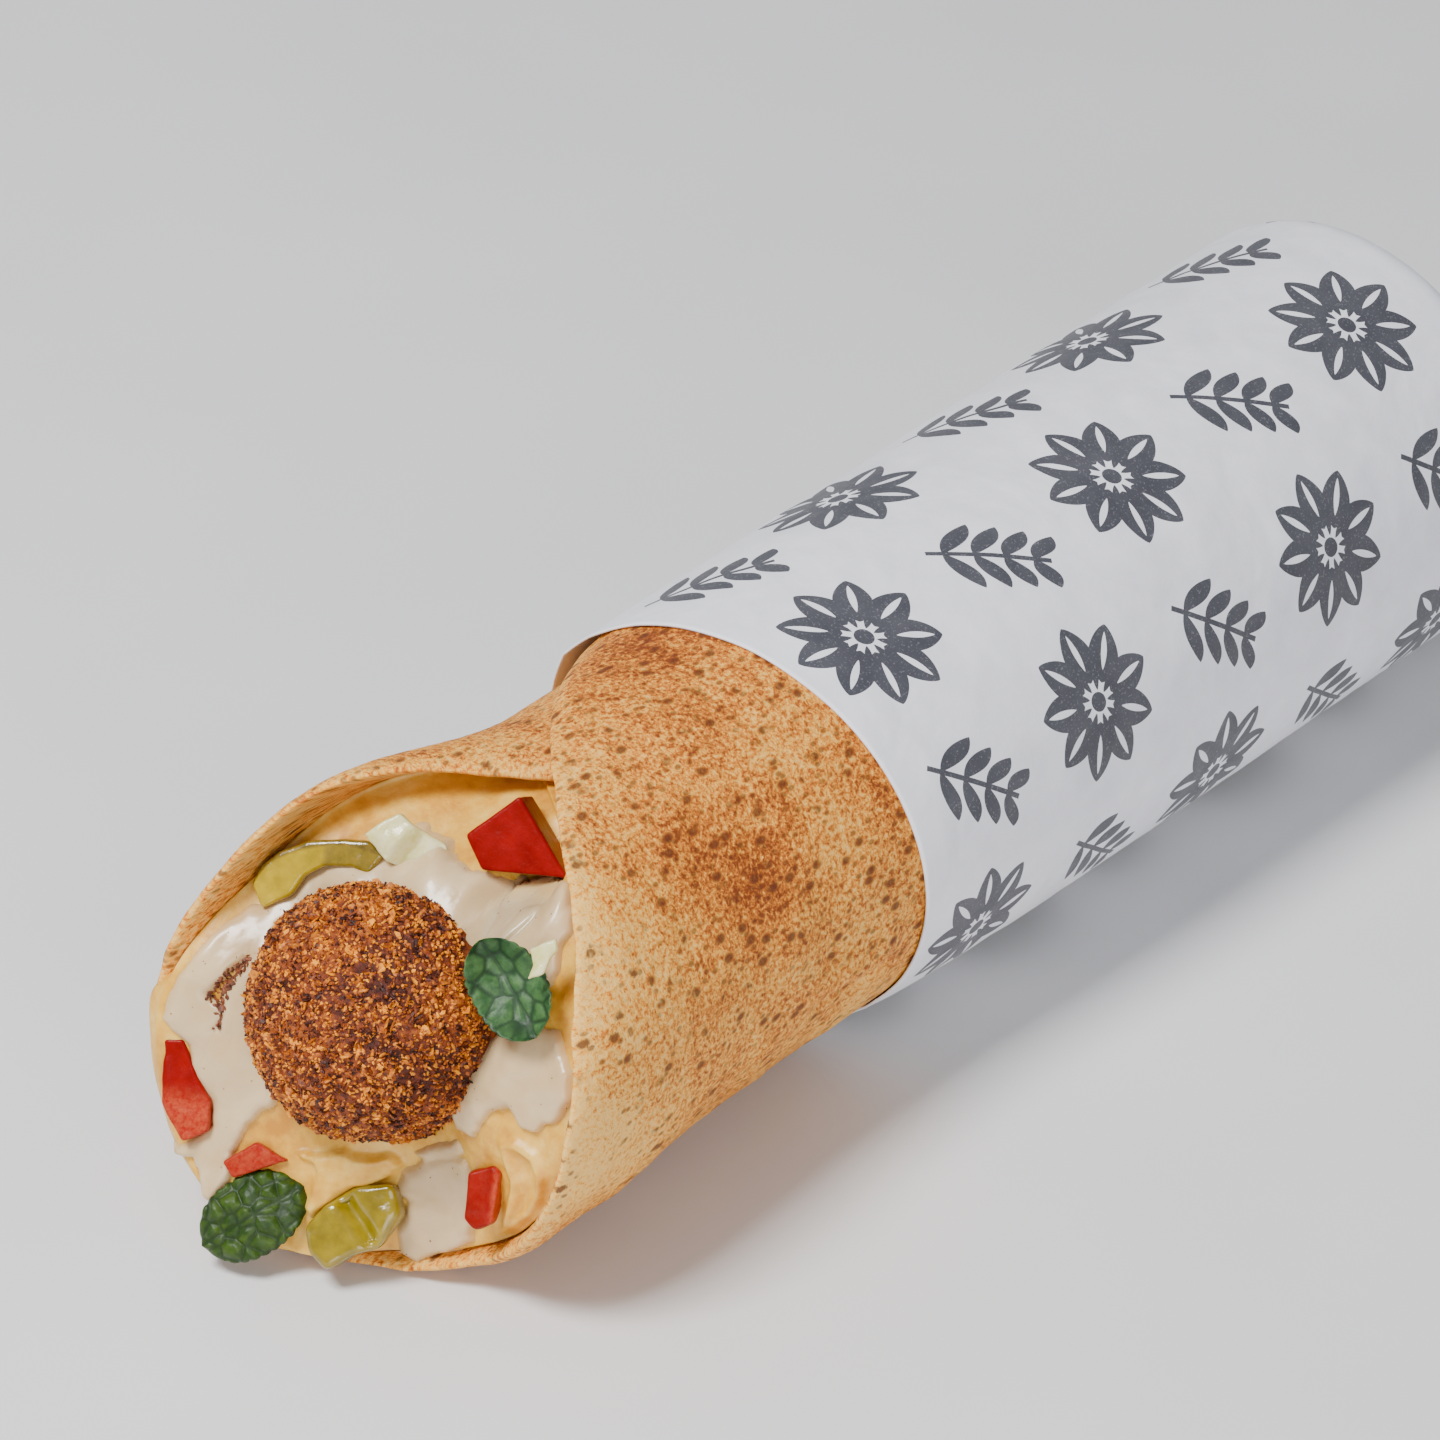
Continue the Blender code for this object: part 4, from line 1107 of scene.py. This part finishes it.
# %% Crumbs and flakes on the crust
def add_scattered(name, ground, smallest, largest, per_square_metre, turned_up_to, seed, finish):
    """Crumbs between two sizes in mm, scattered over a mesh, as one piece."""
    scattered = bake_tree(name + "_start", tree, ground, {
        "Smallest": smallest, "Largest": largest, "Crumbs per square metre": per_square_metre,
        "Tilt": turned_up_to, "Seed": seed, "Crust": finish.material,
    })
    add_baked(name, scattered)


crust_points = ball + falafel_middle
behind_face = face_x(crust_points[:, 1], crust_points[:, 2] - AXIS_HEIGHT) + 0.5
in_front = crust_points[:, 0] < behind_face
shown_faces = [face for face in ball_faces if in_front[face].all()]
shown_crust = bpy.data.meshes.new("shown_crust")
shown_crust.from_pydata(to_metres(crust_points), [], shown_faces)
print("crust faces in front of the filling:", len(shown_faces))
add_scattered("falafel_crumbs", shown_crust, (0.3, 0.25, 0.2), (1.0, 0.8, 0.6), 3600000.0,
              3.1, 3, loose)
add_scattered("falafel_flakes", shown_crust, (0.9, 0.6, 0.2), (2.3, 1.5, 0.5), 380000.0,
              1.1, 9, loose)

# %% [markdown]
# ## What fell in the sauce
# Some crust came off in the slit of the sauce, and the sauce holds a few dark specks of spice.
# The same tree scatters both, over the patches where they lie.

# %% Crumbs and specks in the sauce
in_slit = distance_inside(y, h, SLIT) > -0.2
bed = grid_faces(*y.shape)
bed = bed[in_slit.ravel()[bed].all(axis=1)]
crumb_bed = bpy.data.meshes.new("crumb_bed")
crumb_bed.from_pydata(to_metres(top.reshape(-1, 3)), [], bed.tolist())
spice_finish = Finish("dark_spice", 0.6)
spice_finish.colour(spice_finish.ramp(spice_finish.noise(0.8), (0.3, (0.055, 0.012, 0.005)),
                                      (0.7, (0.26, 0.065, 0.018))))
add_scattered("fallen_crumbs", crumb_bed, (0.3, 0.3, 0.2), (1.5, 1.1, 0.7), 3400000.0,
              3.1, 5, spice_finish)
add_scattered("spice_specks", tahini.data, (0.12, 0.12, 0.08), (0.4, 0.3, 0.15), 45000.0,
              3.1, 2, spice_finish)

# %% [markdown]
# ## Cut vegetables
# Each cut piece starts as an outline drawn on a plane that faces out of the open end. It
# gets a depth, its edges are rounded, and a fine even mesh is laid over it, so that waves
# can make its faces slightly uneven. Its seat is on the filling's face.

# %% Seats and blocks
TOPPING_FACING = Vector((-0.75, -0.38, 0.54)).normalized()


def seat(y, h, lift, spin=0.0):
    """Where a topping lies: its Z axis points out of the open end and its Y axis up."""
    point = on_face(np.array([y]), np.array([h]), np.array([lift]))[0]
    across = Vector((0, 0, 1)).cross(TOPPING_FACING).normalized()
    upward = TOPPING_FACING.cross(across)
    basis = Matrix((across, upward, TOPPING_FACING)).transposed().to_4x4()
    return Matrix.Translation(point) @ basis @ Matrix.Rotation(math.radians(spin), 4, "Z")


def moved_by(matrix, points):
    """Points taken to their seat."""
    matrix = np.array(matrix)
    return points @ matrix[:3, :3].T + matrix[:3, 3]


def block(outline, depth, rounding, fineness):
    """An outline with a depth, rounded and meshed evenly: its points, normals and faces."""
    builder = bmesh.new()
    rim = [builder.verts.new((a, b, 0)) for a, b in outline]
    front_face = builder.faces.new(rim)
    extruded = bmesh.ops.extrude_face_region(builder, geom=[front_face])["geom"]
    lower = [item for item in extruded if isinstance(item, bmesh.types.BMVert)]
    bmesh.ops.translate(builder, vec=(0, 0, -depth), verts=lower)
    bmesh.ops.recalc_face_normals(builder, faces=builder.faces)
    mesh = bpy.data.meshes.new("block")
    builder.to_mesh(mesh)
    builder.free()
    made = bpy.data.objects.new("block", mesh)
    bpy.context.scene.collection.objects.link(made)
    bevel = made.modifiers.new("Round", "BEVEL")
    bevel.width = rounding
    bevel.segments = 3
    even = made.modifiers.new("Even", "REMESH")
    even.mode = "VOXEL"
    even.voxel_size = fineness
    soften = made.modifiers.new("Soften", "SMOOTH")
    soften.iterations = 4
    even_mesh = finished_mesh(made)
    points = np.array([vertex.co[:] for vertex in even_mesh.vertices])
    normals = np.array([vertex.normal[:] for vertex in even_mesh.vertices])
    faces = [list(polygon.vertices) for polygon in even_mesh.polygons]
    return points, normals, faces


# %% [markdown]
# ## Tomato
# The top cube is mostly skin side and outer flesh, so it is smooth and deep red. The smaller
# pieces show their cut flesh, which is paler and grainy towards the middle of the fruit. One
# finish covers both, with the pale share carried by the mesh.

# %% The tomato finish
flesh = Finish("tomato_flesh", 0.34, Specular_IOR_Level=0.10, Coat_Weight=0.03,
               Coat_Roughness=0.10)
pale_share = flesh.attribute("pale")
grains = flesh.noise(0.9, 4, 0.7)
pulp = flesh.ramp(grains, (0.35, (0.34, 0.012, 0.004)), (0.65, (0.50, 0.08, 0.03)))
red = flesh.ramp(flesh.noise(3, 3, 0.5), (0.3, (0.17, 0.0004, 0.0002)),
                 (0.7, (0.26, 0.001, 0.0004)))
flesh.colour(flesh.mix(pale_share, red, pulp))
flesh.bump(grains, 0.10)

# %% The tomato pieces
TOMATOES = {
    "tomato_dice_top": ((-4.4, 22.0, 3.5), 8.0, [(-5, 2), (2, 8.5), (10.5, -2), (-2, -2.5)]),
    "tomato_dice_left": (
        (25.6, -11.1, 2.2), 3.0,
        [(-3.8, 7), (-1, 7.4), (1.5, 2.5), (4, -0.5), (4.2, -5), (0.5, -7), (-3.2, -2)],
    ),
    "tomato_dice_low_left": (
        (14.1, -18.4, 2.2), 3.0, [(-4.5, -1), (0, 2.5), (5, 0.5), (-2.8, -3.2)],
    ),
    "tomato_dice_low_right": (
        (-18.6, -15.2, 3.0), 3.5,
        [(-2.5, 3), (1, 4.5), (2.2, 3.5), (2, -3.5), (-0.5, -5), (-2.2, -3.5)],
    ),
}
for name, (at_seat, depth_mm, outline) in TOMATOES.items():
    points, normals, faces = block(outline, depth_mm, 0.4, 0.22)
    is_cube = name == "tomato_dice_top"
    uneven = (0.05 if is_cube else 0.16) * waves(points, 1.7, 41) + 0.10 * waves(points, 5, 42)
    points = points + normals * (uneven - 0.05)[:, None]
    if name == "tomato_dice_left":
        pale_points = smooth_step((1.5 - points[:, 1]) / 3.5) * 0.8
    elif name == "tomato_dice_low_left":
        pale_points = np.full(len(points), 0.6)
    elif name == "tomato_dice_low_right":
        pale_points = smooth_step((points[:, 0] - 0.9) / 0.8) * 0.6 + 0.12
    else:
        pale_points = np.zeros(len(points))
    tomato = add_piece(f"{name}_piece", moved_by(seat(*at_seat), points), faces, flesh, "tomato",
                       pale=pale_points)
    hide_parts(name)

# %% [markdown]
# ## Pickled cucumber
# The upper slice is a wedge with its dark skin along the top, and the lower one is a thick
# pale piece with a groove where the seeds were. Pickled flesh is glassy, so it takes some
# light under its surface and has a sharp shine.

# %% The pickle finish
pickled = Finish("pickled_cucumber", 0.16, Subsurface_Weight=0.25,
                 Subsurface_Radius=(0.9, 0.7, 0.2), Subsurface_Scale=0.004, Coat_Weight=0.5,
                 Coat_Roughness=0.05)
skin_share = pickled.attribute("skin")
light_share = pickled.attribute("light")
cloud = pickled.noise(2.6, 4, 0.6)
olive = pickled.ramp(cloud, (0.3, (0.33, 0.225, 0.002)), (0.7, (0.52, 0.36, 0.006)))
glassy = pickled.ramp(cloud, (0.3, (0.18, 0.125, 0.001)), (0.7, (0.30, 0.215, 0.004)))
inner_flesh = pickled.mix(light_share, olive, glassy)
peel = pickled.ramp(pickled.noise(1.0, 3, 0.6), (0.3, (0.085, 0.06, 0.006)),
                    (0.7, (0.21, 0.13, 0.012)))
pickled.colour(pickled.mix(skin_share, inner_flesh, peel))
pickled.bump(pickled.noise(0.7, 3, 0.6), 0.08)

# %% The pickle pieces
points, normals, faces = block([
    (-7.2, -3.6), (-6.0, -0.9), (-4.0, 1.3), (0.2, 3.4), (5.4, 4.4), (8.8, 4.6),
    (11.3, 2.8), (9.4, -0.4), (6.8, 0.5), (2.8, 0), (0.4, -1.6), (-1.2, -4.6), (-5.2, -7),
], 3.5, 0.6, 0.22)
points = points + normals * (0.14 * waves(points, 2.2, 43) - 0.05)[:, None]
top_line = through([(-7.2, -3.6), (-6, -0.9), (-4, 1.3), (0.2, 3.4), (5.4, 4.4), (11.3, 3.6)])
peel_share = smooth_step((points[:, 1] - top_line(points[:, 0]) + 1.5) / 0.7)
peel_share = np.maximum(peel_share, smooth_step((points[:, 0] - 2.2) / 1.0) * 0.75)
pickle = add_piece("pickle_slice_top_piece", moved_by(seat(21.2, 16.2, 4.0), points), faces,
                   pickled, "pickle", skin=peel_share, light=np.zeros(len(points)))
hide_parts("pickle_slice_top")

points, normals, faces = block([
    (-6.5, -1), (-4, 2.5), (0, 6), (5.5, 7), (7, 3), (4.5, -2), (1, -3.8), (-2.5, -6.5),
    (-5.5, -4.6),
], 5.0, 1.0, 0.22)
along_groove = (points[:, 0] + points[:, 1] * 0.9 + 1.0) / 1.35
facing = np.clip(normals[:, 2], 0, 1)
groove = -1.5 * np.exp(-((along_groove - 2.4) / 1.1) ** 2) * facing
points = points + normals * (groove + 0.22 * waves(points, 2.4, 44))[:, None]
pickle = add_piece("pickle_slice_low_piece", moved_by(seat(0.8, -24.8, 3.6), points), faces,
                   pickled, "pickle", skin=0.35 * smooth_step((-3.6 - points[:, 1]) / 1.5),
                   light=np.ones(len(points)))
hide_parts("pickle_slice_low")

# %% [markdown]
# ## White cabbage
# Two torn bits stick out of the sauce. They are thin and crumpled, and their colour wanders
# between pale green and nearly white.

# %% The cabbage bits
crisp = Finish("white_cabbage", 0.25, Subsurface_Weight=0.4, Subsurface_Radius=(0.9, 0.9, 0.5),
               Subsurface_Scale=0.003, Coat_Weight=0.3, Coat_Roughness=0.1)
crisp.colour(crisp.ramp(crisp.noise(2.5, 3, 0.6), (0.3, (0.62, 0.57, 0.18)),
                        (0.7, (0.82, 0.76, 0.44))))
crisp.bump(crisp.noise(1.0, 3, 0.6), 0.15)
CABBAGE = {
    "cabbage_piece_top": ((9.2, 18.9, 3.7), 1.6, [
        (-5.5, 2.5), (-3, 4.8), (-1, 6), (2, 4), (5.5, 2.5), (7, -0.5), (5.5, -4.5),
        (2.5, -2.5), (-2, -1),
    ]),
    "cabbage_piece_right": ((-20.9, 16.8, 7.4), 1.2, [
        (-2, 1.5), (1.5, 3.5), (2, 2), (1, 0.5), (0.5, -1.5), (-1.8, -2.8), (-1.2, -0.5),
    ]),
}
for name, (at_seat, depth_mm, outline) in CABBAGE.items():
    points, normals, faces = block(outline, depth_mm, 0.3, 0.16)
    points[:, 2] += 0.5 * waves(points * (1, 1, 0), 2.6, 45)
    if name == "cabbage_piece_top":
        points[:, 2] -= 2.4 * smooth_step((points[:, 0] - 0.6 * points[:, 1] + 2.5) / 3.5)
    points = points + normals * (0.12 * waves(points, 1.2, 46))[:, None]
    bit = add_piece(f"{name}_bit", moved_by(seat(*at_seat), points), faces, crisp, "cabbage")
    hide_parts(name)

# %% [markdown]
# ## Mint
# A mint leaf is quilted: between the midrib and the side veins the flesh bulges in small
# cells. The leaf is a grid with a cell pattern in its height, drawn into an outline with
# small teeth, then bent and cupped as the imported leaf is.

# %% The leaf mesh
LEAF_THICKNESS = 0.6


def leaf_grid(length_mm, width_mm, bend_mm, cup_mm, cell_mm, quilt_mm):
    """A leaf's points, faces and vein share, which carries the painted shade in the veins: both
    sides and a closed rim.
    """
    u, v = np.meshgrid(np.linspace(-1, 1, 121), np.linspace(-1, 1, 61), indexing="ij")
    teeth = 1 + 0.05 * np.abs(np.sin(u * 17)) * smooth_step((1 - np.abs(u)) / 0.2)
    half_width = width_mm / 2 * np.maximum(0.0, 1 - np.abs(u) ** 2.4) ** 0.6 * teeth
    x_leaf = length_mm / 2 * u
    y_leaf = half_width * v
    place = np.stack([x_leaf, y_leaf, 0 * u], axis=-1)
    chance = np.random.default_rng(7)
    column, line = np.meshgrid(np.arange(-6, 7), np.arange(-4, 5), indexing="ij")
    middles = np.stack([column + 0.5 * (line % 2), line, 0 * line], axis=-1)
    middles = (middles + chance.uniform(-0.5, 0.5, middles.shape) * (1, 1, 0)) * cell_mm
    middles = middles.reshape(-1, 3)
    apart = np.linalg.norm(place[:, :, None] - middles, axis=-1)
    apart.sort(axis=-1)
    bulge = smooth_step((apart[..., 1] - apart[..., 0]) / (0.75 * cell_mm)) ** 0.7
    midrib = 1 - np.exp(-((y_leaf / 0.4) ** 2))
    bulge = bulge * midrib
    ripple = 0.35 * np.sin(5.5 * u + 1.3) * np.cos(4.0 * v) + 0.25 * waves(place, 3.2, 51)
    height = bend_mm * u**2 + cup_mm * v**2 + ripple + quilt_mm * (bulge - 0.5)
    rim = np.minimum(1, np.minimum(1 - np.abs(u), 1 - np.abs(v)) * 12)
    half = LEAF_THICKNESS / 2 * np.sqrt(np.clip(rim, 0, 1))
    upper = np.stack([x_leaf, y_leaf, height + half], axis=-1).reshape(-1, 3)
    lower = np.stack([x_leaf, y_leaf, height - half], axis=-1).reshape(-1, 3)
    on_edge = (rim <= 0).ravel()
    index = np.where(on_edge, np.arange(u.size), u.size + np.cumsum(~on_edge) - 1)
    quads = grid_faces(*u.shape)
    points = np.concatenate([upper, lower[~on_edge]])
    # The vein share is high in the sunken veins between the cells; the finish darkens the leaf
    # there as painted shade
    vein = np.concatenate([(1 - bulge).ravel(), (1 - bulge).ravel()[~on_edge]])
    return points, np.concatenate([quads, index[quads][:, ::-1]]).tolist(), vein


# %% The leaf finishes and the leaves
def leaf_finish(name, deep, fresh, vein_colour):
    """A glossy leaf, darker along its sunken veins: painted shade."""
    made = Finish(name, 0.48, Specular_IOR_Level=0.3, Subsurface_Weight=0.08,
                  Subsurface_Radius=(0.3, 0.8, 0.1), Subsurface_Scale=0.001, Coat_Weight=0.05,
                  Coat_Roughness=0.3)
    green = made.ramp(made.noise(2.0, 3, 0.6), (0.35, deep), (0.65, fresh))
    # Painted shade darkens the leaf along its sunken veins
    made.colour(made.mix(made.calc("MULTIPLY", made.between(made.attribute("vein"), 0.55, 1.0),
                                   0.75), green, vein_colour))
    made.bump(made.noise(0.35, 3, 0.6), 0.06)
    return made


# Each leaf: its seat, its sizes, and a finish whose third colour is the painted shade in its
# veins
LEAVES = {
    "mint_leaf_right": (
        (-14.8, 14.0, 3.4, -52.0), (15.5, 10.5, 2.2, 2.0, 3.0, 0.35),
        leaf_finish("dark_mint", (0.022, 0.070, 0.020), (0.065, 0.150, 0.045),
                    (0.008, 0.025, 0.010)),
    ),
    "mint_leaf_left": (
        (12.0, -25.4, 3.0, 38.0), (17.0, 11.0, -1.6, -1.0, 2.6, 0.55),
        leaf_finish("bright_mint", (0.011, 0.036, 0.001), (0.036, 0.078, 0.001),
                    (0.006, 0.022, 0.001)),
    ),
}
for name, (at_seat, sizes, finish) in LEAVES.items():
    points, faces, vein = leaf_grid(*sizes)
    leaf_piece = add_piece(f"{name}_piece", moved_by(seat(*at_seat), points), faces, finish,
                           "mint", vein=vein)
    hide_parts(name)

# %% [markdown]
# ## The floor
# A plain pale floor carries the wrap and shows its shadow.

# %% The floor
floor_finish = Finish("pale_floor", 0.6)
floor_finish.colour(floor_finish.ramp(floor_finish.noise(60, 2, 0.5), (0.3, (0.74, 0.74, 0.74)),
                                      (0.7, (0.78, 0.78, 0.78))))
floor_mesh = bpy.data.meshes.new("floor")
reach = 3.0
floor_mesh.from_pydata(
    [(-reach, -reach, 0), (reach, -reach, 0), (reach, reach, 0), (-reach, reach, 0)], [],
    [(0, 1, 2, 3)])
floor_mesh.materials.append(floor_finish.material)
floor = bpy.data.objects.new("floor", floor_mesh)
bpy.context.scene.collection.objects.link(floor)
